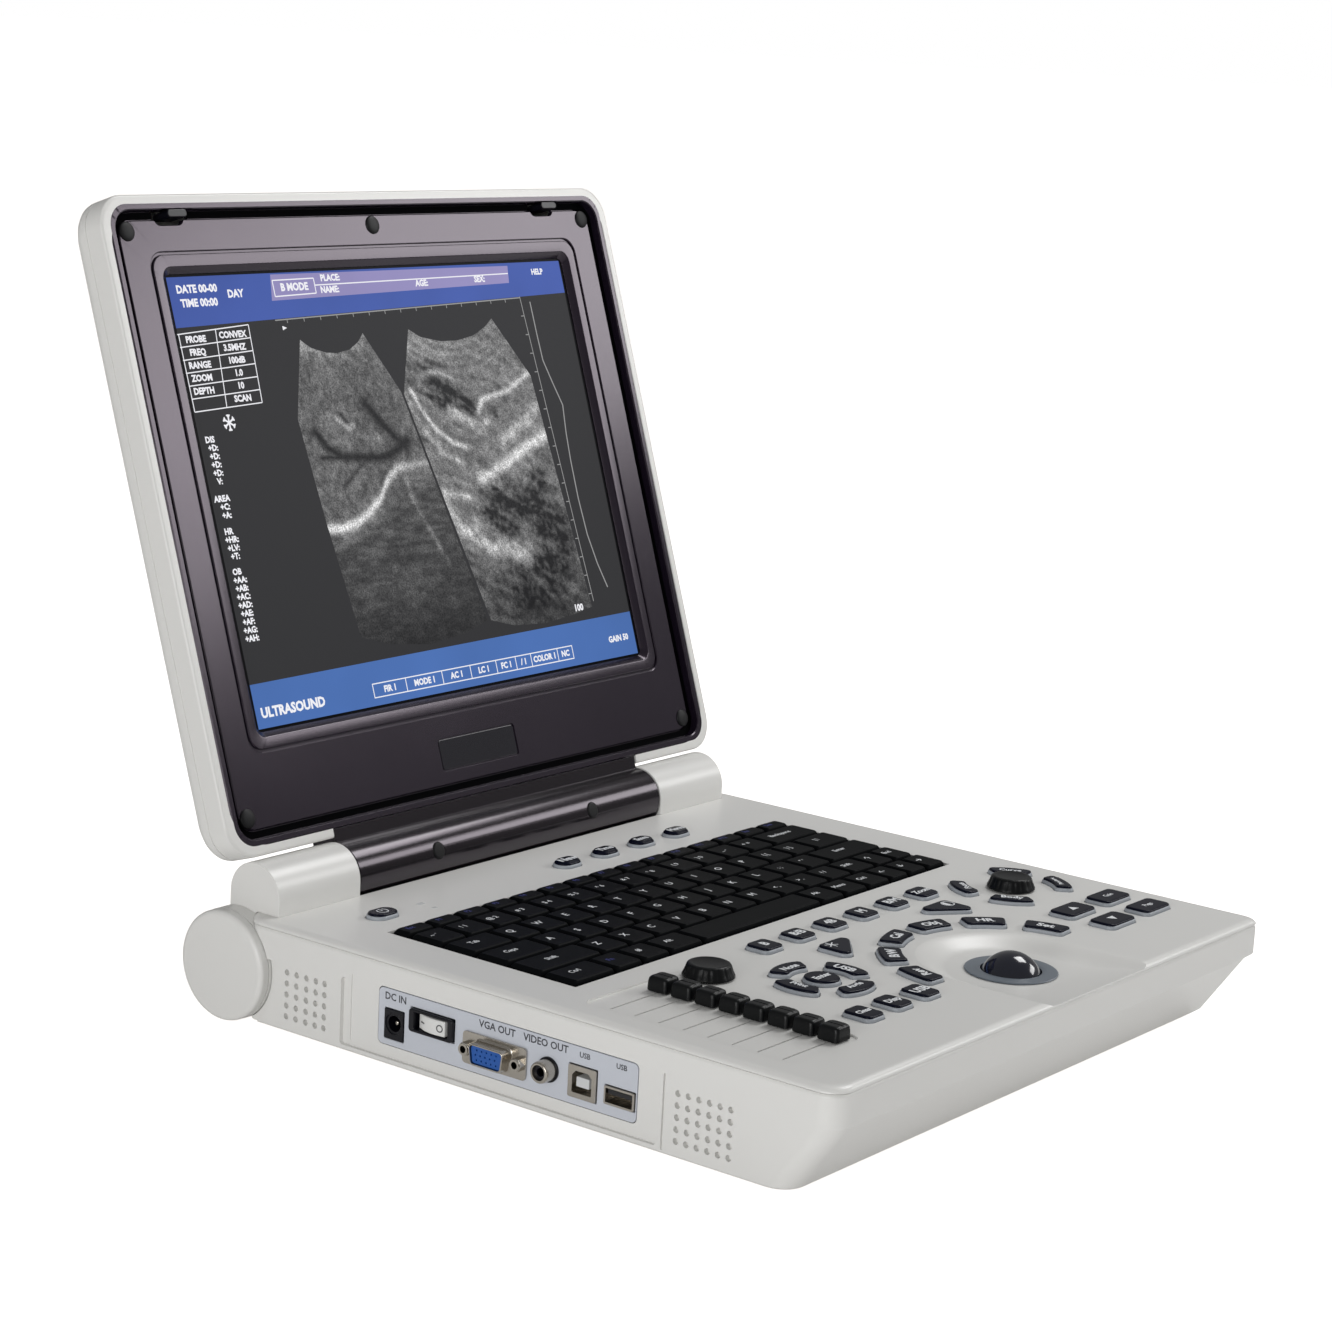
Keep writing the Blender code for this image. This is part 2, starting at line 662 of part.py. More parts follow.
SOCKETS = {
    "dc_jack": (198.2, 207.8, 10.7, 22.5),
    "switch_housing": (172.8, 194.8, 16.7, 25.8),
    "vga_connector": (136.9, 167.7, 11.1, 23.6),
    "usb_b_port": (104.2, 117.2, 10.9, 23.2),
    "usb_a_port": (86.6, 100.4, 12.2, 19.2),
}
VIDEO_SPOT = (126.8, 18.2)
VIDEO_R = 4.15


def make_port_plate(shop):
    v0, v1, z0, z1 = [value * MM for value in PORT_PLATE]
    face = CASE_LEFT + 0.2 * MM
    back = face + 2.2 * MM
    outline = rounded_rectangle(v0, v1, z0, z1, 2.2 * MM)
    plate = shop.part("port_plate", seat(sideways(outline, face, back)), "plate_lavender")
    holes = []
    for name, (a, b, c, d) in SOCKETS.items():
        if name == "vga_connector":
            middle = (a + b) / 2
            a, b, c, d = middle - 9.0, middle + 9.0, c + 1.6, d - 1.6
        holes.append(port_box(a - 0.3, b + 0.3, c - 0.3, d + 0.3, 5 * MM))
    v, z = [value * MM for value in VIDEO_SPOT]
    holes.append(rod(face - 5 * MM, back + 5 * MM, v, z, (VIDEO_R + 0.4) * MM, 20))
    shop.cut(plate, [seat(hole) for hole in holes])


def make_dc_jack(shop):
    v0, v1, z0, z1 = SOCKETS["dc_jack"]
    jack = shop.part("dc_jack", seat(port_box(v0, v1, z0, z1, 0.3 * MM)), "satin_black")
    middle = (v0 + v1) / 2 * MM
    shop.cut(jack, [seat(rod(CASE_LEFT - 5 * MM, CASE_LEFT + 9 * MM, middle, 17.0 * MM, 3.1 * MM, 20))])


def make_switch(shop):
    v0, v1, z0, z1 = SOCKETS["switch_housing"]
    housing = shop.part("switch_housing", seat(port_box(v0, v1, z0, z1, 1.4 * MM)), "satin_black")
    middle = (v0 + v1) / 2
    well = port_box(middle - 8.4, middle + 8.4, z0 + 1.2, z1 - 1.2, 5 * MM, 9 * MM)
    shop.cut(housing, [seat(well)])
    pivot = SEAT + Vector((CASE_LEFT + 4.0 * MM, middle * MM, (z0 + z1) / 2 * MM))
    profile = [(-3.0, 7.3), (-4.7, 3.4), (-5.4, -2.8), (-4.9, -7.1), (1.8, -7.0), (3.2, 0.0), (1.8, 7.0)]
    outline = [(x * MM, y * MM) for x, y in profile]
    half = (z1 - z0) / 2 * MM - 1.5 * MM
    rocker = moved(upright(outline, -half, half), pivot)
    shop.part("switch_rocker", rocker, "switch_white", pivot)


def d_outline(middle, height, half_width, half_height, slant):
    corners = [
        (middle - half_width + slant, height - half_height),
        (middle + half_width - slant, height - half_height),
        (middle + half_width, height + half_height),
        (middle - half_width, height + half_height),
    ]
    return rounded(corners, 1.6 * MM, 2)


def make_vga_connector(shop):
    v0, v1, z0, z1 = SOCKETS["vga_connector"]
    middle, height = (v0 + v1) / 2 * MM, (z0 + z1) / 2 * MM
    face = CASE_LEFT + 0.2 * MM - GAP
    outline = rounded_rectangle(v0 * MM, v1 * MM, z0 * MM, z1 * MM, 1.5 * MM, 2)
    flange = sideways(outline, face - 0.8 * MM, face)
    vga = shop.part("vga_connector", seat(flange), "nickel")
    shell = sideways(d_outline(middle, height, 8.5 * MM, 4.2 * MM, 1.0 * MM), face - 5.8 * MM, face + 10 * MM)
    posts = []
    for side in (-1, 1):
        posts.append(rod(face - 3.3 * MM, face - 0.4 * MM, middle + side * 12.5 * MM, height, 2.6 * MM, 6))
    shop.join(vga, [seat(shell)])
    shop.join(vga, [seat(post) for post in posts])
    rim = d_outline(middle, height, 7.9 * MM, 3.6 * MM, 1.0 * MM)
    shop.cut(vga, [seat(sideways(rim, face - 9 * MM, face - 5.2 * MM))])


def make_video_jack(shop):
    v, z = [value * MM for value in VIDEO_SPOT]
    front = CASE_LEFT - 5.8 * MM
    jack = shop.part("video_jack", seat(rod(front, CASE_LEFT + 10 * MM, v, z, VIDEO_R * MM, 20)), "nickel")
    shop.cut(jack, [seat(rod(front - 5 * MM, front + 9 * MM, v, z, 1.7 * MM, 12))])


def make_usb_ports(shop):
    v0, v1, z0, z1 = SOCKETS["usb_b_port"]
    middle, height = (v0 + v1) / 2, (z0 + z1) / 2
    port = shop.part("usb_b_port", seat(port_box(v0, v1, z0, z1, 0.5 * MM)), "nickel")
    shop.cut(port, [seat(port_box(middle - 4.5, middle + 4.5, height - 4.1, height + 4.1, 5 * MM, 9 * MM))])
    v0, v1, z0, z1 = SOCKETS["usb_a_port"]
    middle, height = (v0 + v1) / 2, (z0 + z1) / 2
    port = shop.part("usb_a_port", seat(port_box(v0, v1, z0, z1, 0.5 * MM)), "nickel")
    shop.cut(port, [seat(port_box(middle - 6.1, middle + 6.1, height - 2.6, height + 2.6, 5 * MM, 9 * MM))])


# ---------------------------------------------------------------- hinge and lid


def make_hinge_cover(shop, side):
    """A round-topped block on the deck, with a bore for the hinge's shaft."""
    name = "hinge_cover_left" if side < 0 else "hinge_cover_right"
    front, rear = HINGE_V - HINGE_COVER_R, HINGE_V + HINGE_COVER_R
    foot = DECK_TOP_Z + GAP
    arc = [(HINGE_V + HINGE_COVER_R * math.cos(a), HINGE_Z + HINGE_COVER_R * math.sin(a))
           for a in (math.pi * i / 16 for i in range(17))]
    profile = arc + [(front, foot), (CASE_REAR_V + GAP, foot), (rear, 38 * MM)]
    ends = sorted((side * HINGE_COVER_INNER, side * HINGE_COVER_OUTER))
    cover = shop.part(name, seat(sideways(profile, ends[0] + (side > 0) * GAP, ends[1] - (side < 0) * GAP)),
                      "case_white", smooth=30)
    shaft = sorted((side * HINGE_COVER_INNER * 0.9, side * (HINGE_SHAFT_END + 1 * MM)))
    shop.cut(cover, [seat(rod(*shaft, HINGE_V, HINGE_Z, HINGE_SHAFT_R + GAP, 24))])
    shop.cut(cover, [seat(barrel_space(ends[0] - WALL, ends[1] + WALL))])


def make_hinge_barrel(shop):
    """The lid's black barrel between the hinge covers, its two shafts and the neck up to the lid."""
    inner = HINGE_COVER_INNER - 2 * GAP
    round_bar = rod(-inner, inner, 0, 0, HINGE_BARREL_R, 40)
    barrel = shop.part("hinge_barrel", round_bar, "satin_black", on_lid=True)
    front = LID_FRONT + 0.6 * MM
    neck = box(-inner, inner, front, LID_FRONT + 14.0 * MM, 6.0 * MM, BEZEL_FOOT - GAP)
    shaft = rod(-HINGE_SHAFT_END, HINGE_SHAFT_END, 0, 0, HINGE_SHAFT_R, 24)
    shop.join(barrel, [neck])
    shop.join(barrel, [shaft])


def lid_section(y, inset, half=LID_HALF, low=LID_FOOT, high=LID_TOP, corner=LID_CORNER):
    outline = rounded_rectangle(-half + inset, half - inset, low + inset, high - inset, corner - inset * 0.8)
    return [(x, y, z) for x, z in outline]


def make_lid_shell(shop):
    back = LID_FRONT + LID_THICK
    sections = [
        lid_section(LID_FRONT, 1.0 * MM),
        lid_section(LID_FRONT + 1.0 * MM, 0.0),
        lid_section(back - 6.0 * MM, 0.0),
        lid_section(back - 2.0 * MM, 1.8 * MM),
        lid_section(back, 6.0 * MM),
    ]
    shell = shop.part("lid_shell", loft(sections), "case_white", on_lid=True)
    grow = GAP
    cavity = [
        lid_section(y, 0.0, BEZEL_HALF + grow, BEZEL_FOOT - grow, BEZEL_TOP + grow, 10.0 * MM)
        for y in (LID_FRONT - 5 * MM, back - WALL - 3 * MM)
    ]
    cavity.append(lid_section(back - WALL, 4 * MM, BEZEL_HALF, BEZEL_FOOT, BEZEL_TOP, 10.0 * MM))
    inner = HINGE_COVER_INNER
    before, behind = LID_FRONT - 5 * MM, LID_FRONT + 14.6 * MM
    notch = box(-inner, inner, before, behind, LID_FOOT - 5 * MM, BEZEL_FOOT + 1 * MM)
    shop.cut(shell, [loft(cavity)])
    shop.cut(shell, [notch])


def make_bezel(shop):
    """The frame round the screen: an outer lip, a groove inside it and a sunken face."""
    front = LID_FRONT
    sections = [
        lid_section(y, 0.0, BEZEL_HALF, BEZEL_FOOT, BEZEL_TOP, 9.7 * MM)
        for y in (front, front + BEZEL_DEPTH)
    ]
    bezel = shop.part("lid_bezel", loft(sections), "satin_black", on_lid=True)
    before = front - 5 * MM
    far_lip = BEZEL_LIP + GROOVE_WIDTH

    def ring(inset, y, corner):
        return lid_section(y, inset, BEZEL_HALF, BEZEL_FOOT, BEZEL_TOP, corner)

    hollow = loft([ring(BEZEL_LIP, y, 10.0 * MM) for y in (before, front + GROOVE_DEPTH)])
    shop.cut(bezel, [hollow])
    face = loft([ring(far_lip, y, 12.0 * MM) for y in (front + BEZEL_RECESS, front + BEZEL_DEPTH - 0.5 * MM)])
    shop.join(bezel, [face])
    rows = (
        (SCREEN_HALF + 0.5 * MM, before),
        (SCREEN_HALF, front + BEZEL_RECESS),
        (SCREEN_HALF - 1.8 * MM, front + 7 * MM),
    )
    window = []
    for half, y in rows:
        change = half - SCREEN_HALF
        window.append(lid_section(y, 0.0, half, SCREEN_FOOT - change, SCREEN_TOP + change, 5.0 * MM))
    shop.cut(bezel, [loft(window)])
    bumpers = []
    low_row, high_row = BEZEL_FOOT + 11.5 * MM, BEZEL_FOOT + 248 * MM
    spots = [(side * BUMPER_X, z) for side in (-1, 1) for z in (low_row, high_row)]
    for x, z in spots + [(0.0, high_row)]:
        outline = circle(x, z, BUMPER_R, 12)
        y0, y1 = front + BEZEL_RECESS - 1.0 * MM, front + BEZEL_RECESS + 0.6 * MM
        bumpers.append(loft([[(px, y, pz) for px, pz in outline] for y in (y0, y1)]))
    shop.join(bezel, bumpers)
    holes = []
    for side in (-1, 1):
        half = 9.5 * MM
        x = side * LATCH_X
        low, high = LATCH_HEIGHT - 2.3 * MM, LATCH_HEIGHT + 1.8 * MM
        holes.append(box(x - half, x + half, before, front + 9 * MM, low, high))
    shop.cut(bezel, holes)


def make_screen(shop):
    y0 = LID_FRONT + LCD_DEPTH
    half = SCREEN_HALF + 4.0 * MM
    panel = box(-half, half, y0, y0 + LCD_THICK, SCREEN_FOOT - 4 * MM, SCREEN_TOP + 4 * MM)
    shop.part("lcd_panel", panel, "screen_glass", on_lid=True)


def make_latch(shop, side):
    """A sliding hook in the bezel's top groove."""
    name = "latch_left" if side < 0 else "latch_right"
    x = side * LATCH_X
    half = 5.3 * MM
    low, high = LATCH_HEIGHT - 1.9 * MM, LATCH_HEIGHT + 1.4 * MM
    outline = rounded_rectangle(x - half, x + half, low, high, 1.6 * MM)
    levels = (LID_FRONT - 0.8 * MM, LID_FRONT + 8.0 * MM)
    shape = loft([[(px, y, pz) for px, pz in outline] for y in levels])
    shop.part(name, shape, "satin_black", (x, LID_FRONT, LATCH_HEIGHT), on_lid=True)


def main():
    clear_scene()
    shop = Workshop()
    make_bottom_case(shop)
    make_top_case(shop)
    make_rear_barrel(shop)
    make_feet(shop)
    make_main_board(shop)
    make_keyboard(shop)
    make_buttons(shop)
    make_sliders(shop)
    make_knobs(shop)
    make_trackball(shop)
    make_port_plate(shop)
    make_dc_jack(shop)
    make_switch(shop)
    make_vga_connector(shop)
    make_video_jack(shop)
    make_usb_ports(shop)
    make_hinge_barrel(shop)
    make_lid_shell(shop)
    make_bezel(shop)
    make_screen(shop)
    for side in (-1, 1):
        make_barrel_cap(shop, side)
        make_hinge_cover(shop, side)
        make_latch(shop, side)


main()
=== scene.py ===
import math

import bmesh
import bpy
import numpy as np
from mathutils import Matrix, Vector


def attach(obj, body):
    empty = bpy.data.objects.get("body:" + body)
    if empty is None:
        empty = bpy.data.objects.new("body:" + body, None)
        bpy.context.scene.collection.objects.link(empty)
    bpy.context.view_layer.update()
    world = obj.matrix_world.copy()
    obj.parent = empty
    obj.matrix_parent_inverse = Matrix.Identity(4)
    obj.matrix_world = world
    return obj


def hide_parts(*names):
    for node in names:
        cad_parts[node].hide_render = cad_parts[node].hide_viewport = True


# Looks of a laptop-style veterinary ultrasound scanner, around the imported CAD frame.
# Case pieces are drawn in millimetres as (x, v, z): v runs from the case's front edge to the rear and
# z from the case's underside. Lid pieces are drawn in the lid's frame: x across, y towards its back and
# z up along the lid from the hinge axis; u is the height above the bezel's lower edge.

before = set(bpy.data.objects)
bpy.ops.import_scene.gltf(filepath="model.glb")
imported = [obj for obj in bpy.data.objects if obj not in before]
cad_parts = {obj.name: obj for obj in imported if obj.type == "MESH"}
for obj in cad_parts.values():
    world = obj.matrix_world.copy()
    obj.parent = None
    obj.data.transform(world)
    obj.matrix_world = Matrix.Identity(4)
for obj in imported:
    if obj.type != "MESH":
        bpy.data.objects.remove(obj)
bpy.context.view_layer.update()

FRONT_Y = -193.6
FOOT_HEIGHT = 2.5
DECK = 42.4
SEAM = 39.6
LEFT, RIGHT, REAR = -152.5, 156.5, 284.0
AXLE_V, AXLE_Z = 285.2, 48.4
TILT = math.radians(18.32)
RIM_Y = -3.56
BEZEL_FOOT = 18.8
LCD_Y = RIM_Y + 6.0
BALL = (24.5, 40.0)
BARREL = (292.5, 20.3)
BARREL_R = 22.5
BATTERY_Z = 16.5
CORNERS = (9.0, 5.0, 9.0, 9.0)
OUTSIDE = LEFT - 5  # where cuts through the left side start
SOCKET_END = LEFT + 11
SADDLE = 98.9  # half the width of the gap that the hinge barrel lies in
SHAFT_BORE = 5.3
LATCH_X = 116.0
KEYBOARD = (-128.5, 128.5, 135.0, 230.0)
KEY_BASE = 40.2
BUTTON_GAP = 0.35
STRIP_LEFT, STRIP_LENGTH = -53.8, 131.2  # the row of boxes at the foot of the display
WELD = 0.002  # points closer than this become one
SLOW_SCALE = 14.0  # noise scale of the slow changes of colour and gloss
GLOSS_SPREAD = 0.13
GRAIN_DEPTH = 0.00008
SIDES = ((-1, "left"), (1, "right"))

CASE = Matrix.Translation((0, FRONT_Y / 1000, FOOT_HEIGHT / 1000)) @ Matrix.Scale(0.001, 4)
LID = (
    Matrix.Translation((0, (FRONT_Y + AXLE_V) / 1000, (FOOT_HEIGHT + AXLE_Z) / 1000))
    @ Matrix.Rotation(-TILT, 4, "X")
    @ Matrix.Scale(0.001, 4)
)


# ---------------------------------------------------------------- materials


def feed(node, **values):
    """Sets a node's inputs. An underscore in a name stands for a space."""
    for key, value in values.items():
        node.inputs[key.replace("_", " ")].default_value = value


def blank_material(name):
    material = bpy.data.materials.new(name)
    material.use_nodes = True
    nodes = material.node_tree.nodes
    return material, nodes, material.node_tree.links, nodes["Principled BSDF"]


def noise(nodes, links, scale, detail):
    """A noise texture in the object's own coordinates."""
    place = nodes.new("ShaderNodeTexCoord")
    texture = nodes.new("ShaderNodeTexNoise")
    feed(texture, Scale=scale, Detail=detail)
    links.new(place.outputs["Object"], texture.inputs["Vector"])
    return texture


def plastic(name, colour, rough, grain=0.12, vary=0.05, grain_scale=2600.0, coat=0.0, metal=0.0, **more):
    """Moulded material: slow colour and gloss changes, and a fine surface grain."""
    material, nodes, links, shader = blank_material(name)
    slow = noise(nodes, links, SLOW_SCALE, 4.0)
    tint = nodes.new("ShaderNodeMix")
    tint.data_type = "RGBA"
    low = [c * (1 - vary) for c in colour]
    high = [min(1.0, c * (1 + vary)) for c in colour]
    feed(tint, A=(*low, 1), B=(*high, 1))
    links.new(slow.outputs["Fac"], tint.inputs["Factor"])
    links.new(tint.outputs["Result"], shader.inputs["Base Color"])
    gloss = nodes.new("ShaderNodeMapRange")
    feed(gloss, To_Min=rough * (1 - GLOSS_SPREAD), To_Max=min(1.0, rough * (1 + GLOSS_SPREAD)))
    links.new(slow.outputs["Fac"], gloss.inputs["Value"])
    links.new(gloss.outputs["Result"], shader.inputs["Roughness"])
    fine = noise(nodes, links, grain_scale, 2.0)
    bump = nodes.new("ShaderNodeBump")
    feed(bump, Strength=grain, Distance=GRAIN_DEPTH)
    links.new(fine.outputs["Fac"], bump.inputs["Height"])
    links.new(bump.outputs["Normal"], shader.inputs["Normal"])
    feed(shader, Metallic=metal, Coat_Weight=coat, Coat_Roughness=0.15, **more)
    return material


def glow(name, colour, speckle=0.0, scale=700.0, attribute=None):
    """A lit area of the display: its colour, with an optional speckle, over dark glass."""
    material, nodes, links, shader = blank_material(name)
    feed(shader, Base_Color=(0.01, 0.01, 0.012, 1), Roughness=0.35, Specular_IOR_Level=0.03, Emission_Strength=1.0)
    grain = noise(nodes, links, scale, 3.0)
    spread = nodes.new("ShaderNodeMapRange")
    feed(spread, From_Min=0.3, From_Max=0.7, To_Min=1 - speckle, To_Max=1 + speckle)
    links.new(grain.outputs["Fac"], spread.inputs["Value"])
    mix = nodes.new("ShaderNodeMix")
    mix.data_type = "RGBA"
    mix.blend_type = "MULTIPLY"
    feed(mix, Factor=1.0, A=(*colour, 1))
    if attribute:
        paint = nodes.new("ShaderNodeAttribute")
        paint.attribute_name = attribute
        links.new(paint.outputs["Color"], mix.inputs["A"])
    links.new(spread.outputs["Result"], mix.inputs["B"])
    links.new(mix.outputs["Result"], shader.inputs["Emission Color"])
    return material


WHITE = plastic("case_white_grain", (0.750, 0.745, 0.722), 0.32, 0.06, 0.010)
BEZEL = plastic("bezel_satin", (0.009, 0.006, 0.012), 0.20, 0.10, 0.10, 3200.0, Specular_Tint=(1.0, 0.87, 1.0, 1))
HINGE_BLACK = plastic("hinge_black", (0.004, 0.003, 0.004), 0.17, 0.08, 0.10, Specular_Tint=(1.0, 0.88, 1.0, 1))
BADGE = plastic("badge_gloss", (0.016, 0.015, 0.020), 0.10, 0.02, 0.10)
KEYS = plastic("key_black_grain", (0.0025, 0.003, 0.0036), 0.46, 0.20, 0.15, 3600.0, Specular_IOR_Level=0.05)
# Matte black: the keyboard's own black plate, and painted shade on the bezel groove's floor.
PLATE_AND_GROOVE_SHADE = plastic("key_plate_and_groove_shade_black", (0.001, 0.001, 0.0015), 0.8, 0.1, Specular_IOR_Level=0.03)
CAPS = plastic("cap_navy_gloss", (0.002, 0.003, 0.011), 0.24, 0.06, 0.1, 2600.0, Specular_IOR_Level=0.12)
SKIRTS = plastic("silicone_grey", (0.36, 0.385, 0.42), 0.42, 0.10, 0.04, 2000.0)
KNOBS = plastic("knob_black", (0.003, 0.0035, 0.004), 0.34, 0.20, 0.12, 3000.0, Specular_IOR_Level=0.22)
BALLS = plastic("ball_gloss", (0.004, 0.005, 0.014), 0.08, 0.0, 0.05, 900.0, 0.6)
RINGS = plastic("ring_grey_satin", (0.15, 0.175, 0.205), 0.36, 0.08, 0.05)
PLATE = plastic("plate_lavender_satin", (0.56, 0.585, 0.64), 0.34, 0.06, 0.03)
PANEL_BLACK = plastic("socket_black", (0.003, 0.003, 0.006), 0.32, 0.10, 0.1, Specular_IOR_Level=0.35)
NICKEL = plastic("nickel_satin", (0.50, 0.465, 0.41), 0.24, 0.05, 0.06, 1500.0, 0.0, 1.0)
BLUE = plastic("vga_blue", (0.008, 0.085, 0.36), 0.36, 0.08, 0.06)
SWITCH = plastic("switch_white", (0.74, 0.74, 0.72), 0.32, 0.05, 0.02)
RUBBER = plastic("rubber_black", (0.005, 0.005, 0.006), 0.5, 0.3, 0.15, 1800.0, Specular_IOR_Level=0.25)
INK = plastic("ink_grey", (0.045, 0.045, 0.055), 0.5, 0.0)
PRINT_WHITE = plastic("print_white", (0.82, 0.84, 0.86), 0.45, 0.0)
PRINT_BLUE = plastic("print_blue", (0.03, 0.04, 0.22), 0.45, 0.0)
TONGUE = plastic("tongue_black", (0.012, 0.012, 0.014), 0.4, 0.0)
PIPE = plastic("light_pipe", (0.62, 0.63, 0.63), 0.2, 0.0, 0.03)
BOARD = plastic("solder_mask", (0.02, 0.12, 0.05), 0.4, 0.2, 0.2, 600.0)
WRAP = plastic("battery_wrap", (0.05, 0.1, 0.3), 0.4, 0.1, 0.1)
FAN = glow("scan_speckle", (1, 1, 1), 0.6, 1500.0, "light")
DARK = glow("display_dark", (0.026, 0.026, 0.027))
BAND = glow("display_blue", (0.055, 0.105, 0.395), 0.14, 12.0)
BAND_LOW = glow("display_blue_low", (0.062, 0.150, 0.42), 0.10, 12.0)
LILAC = glow("display_lilac", (0.29, 0.26, 0.50), 0.06, 16.0)
WORDS = glow("display_words", (0.86, 0.86, 0.90))
FAINT = glow("display_faint", (0.30, 0.30, 0.30))

# Where a piece goes, what it is made of, the body it rides on, and its slot.
WHITE_CASE = (CASE, WHITE, "case", "case_white")
METAL = (CASE, NICKEL, "case", "nickel")
SOCKET_BLACK = (CASE, PANEL_BLACK, "case", "satin_black")
LID_RUBBER = (LID, RUBBER, "lid", "rubber_black")


def on_glass(material):
    return LID, material, "lid", "screen_glass"


# ---------------------------------------------------------------- outlines and meshes


def rounded(corners, radius, steps=6):
    """A closed outline through the corners, each turned into an arc. The radius is one, or one for each."""
    outline = []
    count = len(corners)
    radii = radius if isinstance(radius, tuple) else (radius,) * count
    for i in range(count):
        here = Vector(corners[i])
        before = (Vector(corners[i - 1]) - here).normalized()
        after = (Vector(corners[(i + 1) % count]) - here).normalized()
        half = before.angle(after) / 2
        reach = radii[i] / math.tan(half)
        centre = here + (before + after).normalized() * (radii[i] / math.sin(half))
        start = here + before * reach - centre
        turn = start.angle_signed(here + after * reach - centre)
        for step in range(steps + 1):
            arm = start.copy()
            arm.rotate(Matrix.Rotation(-turn * step / steps, 2))
            outline.append(tuple(centre + arm))
    return outline


def rect(x0, x1, y0, y1, radius=0.0, steps=6):
    corners = [(x0, y0), (x1, y0), (x1, y1), (x0, y1)]
    return rounded(corners, radius, steps) if radius else corners


def block(x, v, width, depth, radius=3.0, steps=6):
    return rect(x - width / 2, x + width / 2, v - depth / 2, v + depth / 2, radius, steps)


def circle(cx, cy, radius, steps=48):
    turns = [2 * math.pi * i / steps for i in range(steps)]
    return [(cx + radius * math.cos(t), cy + radius * math.sin(t)) for t in turns]


def resampled(outline, longest=1.5):
    """The outline with its long sides divided."""
    points = []
    for i, here in enumerate(outline):
        ahead = outline[(i + 1) % len(outline)]
        parts = max(1, math.ceil(math.dist(here, ahead) / longest))
        for k in range(parts):
            points.append((here[0] + (ahead[0] - here[0]) * k / parts, here[1] + (ahead[1] - here[1]) * k / parts))
    return points


def bent(centre, radius, length, width, angle, corner=2.2):
    """A rounded block bent along a circle about the centre, at an angle in degrees."""
    cx, cy = centre
    points = []
    for along, across in resampled(rect(-length / 2, length / 2, -width / 2, width / 2, corner)):
        turn = math.radians(angle) - along / radius
        reach = radius + across
        points.append((cx + reach * math.cos(turn), cy + reach * math.sin(turn)))
    return points


def grown(outline, margin):
    """The outline moved outwards by the margin."""
    count = len(outline)
    area = sum(outline[i - 1][0] * outline[i][1] - outline[i][0] * outline[i - 1][1] for i in range(count))
    sign = 1 if area > 0 else -1
    result = []
    for i in range(count):
        here = Vector(outline[i])
        before = (here - Vector(outline[i - 1])).normalized()
        after = (Vector(outline[(i + 1) % count]) - here).normalized()
        side = (Vector((before.y, -before.x)) + Vector((after.y, -after.x))).normalized()
        lean = max(0.5, side.dot(Vector((after.y, -after.x))))
        result.append(tuple(here + side * (sign * margin / lean)))
    return result


def loft(sections, caps=True, ring=False):
    """A mesh through outlines of equal count. Caps close its ends; a ring joins the last to the first."""
    shape = bmesh.new()
    rows = [[shape.verts.new(point) for point in section] for section in sections]
    pairs = list(zip(rows, rows[1:])) + ([(rows[-1], rows[0])] if ring else [])
    for low, high in pairs:
        for i in range(len(low)):
            j = (i + 1) % len(low)
            shape.faces.new((low[i], low[j], high[j], high[i]))
    if caps and not ring:
        shape.faces.new(reversed(rows[0]))
        shape.faces.new(rows[-1])
    bmesh.ops.recalc_face_normals(shape, faces=shape.faces)
    return shape


def at_z(outline, z):
    return [(x, y, z) for x, y in outline]


def prism(outline, low, high):
    return loft([at_z(outline, low), at_z(outline, high)])


def side_prism(outline, x0, x1):
    """A prism of a (v, z) outline along x."""
    return loft([[(x, y, z) for y, z in outline] for x in (x0, x1)])


def box(x0, x1, y0, y1, z0, z1):
    return prism(rect(x0, x1, y0, y1), z0, z1)


def turned(profile, centre, steps=48, axis="z"):
    """A solid of revolution from (radius, height) pairs. The axis is z, or x or y with the height along it."""
    rows = []
    for radius, height in profile:
        ring = circle(0, 0, max(radius, 0.001), steps)
        if axis == "z":
            rows.append([(centre[0] + a, centre[1] + b, height) for a, b in ring])
        elif axis == "x":
            rows.append([(height, centre[0] + a, centre[1] + b) for a, b in ring])
        else:
            rows.append([(centre[0] + a, height, centre[1] + b) for a, b in ring])
    return loft(rows)


def joined(shapes):
    whole = bmesh.new()
    for shape in shapes:
        part = bpy.data.meshes.new("part")
        shape.to_mesh(part)
        whole.from_mesh(part)
        shape.free()
        bpy.data.meshes.remove(part)
    return whole


def plain_object(name, shape):
    mesh = bpy.data.meshes.new(name)
    shape.to_mesh(mesh)
    shape.free()
    item = bpy.data.objects.new(name, mesh)
    bpy.context.scene.collection.objects.link(item)
    return item


def settled(item):
    """The object's mesh with its modifiers applied."""
    bpy.context.view_layer.update()
    graph = bpy.context.evaluated_depsgraph_get()
    mesh = bpy.data.meshes.new_from_object(item.evaluated_get(graph))
    old = item.data
    item.modifiers.clear()
    item.data = mesh
    bpy.data.meshes.remove(old)


def changed_by(item, shape, operation):
    """Joins a shape to the object or cuts it from it."""
    knife = plain_object("knife", shape)
    change = item.modifiers.new("change", "BOOLEAN")
    change.operation = operation
    change.solver = "EXACT"
    change.object = knife
    settled(item)
    bpy.data.objects.remove(knife, do_unlink=True)


def carved(shape, cuts=(), adds=()):
    """The shape with other shapes joined to it and cut from it, one Boolean after another."""
    body = plain_object("carving", shape)
    for tool in adds:
        changed_by(body, tool, "UNION")
    for tool in cuts:
        changed_by(body, tool, "DIFFERENCE")
    result = bmesh.new()
    result.from_mesh(body.data)
    if len(result.verts) < 8:
        raise ValueError("a Boolean removed the whole shape")
    bpy.data.objects.remove(body, do_unlink=True)
    bmesh.ops.remove_doubles(result, verts=result.verts, dist=WELD)
    bmesh.ops.dissolve_degenerate(result, dist=WELD, edges=result.edges)
    return result


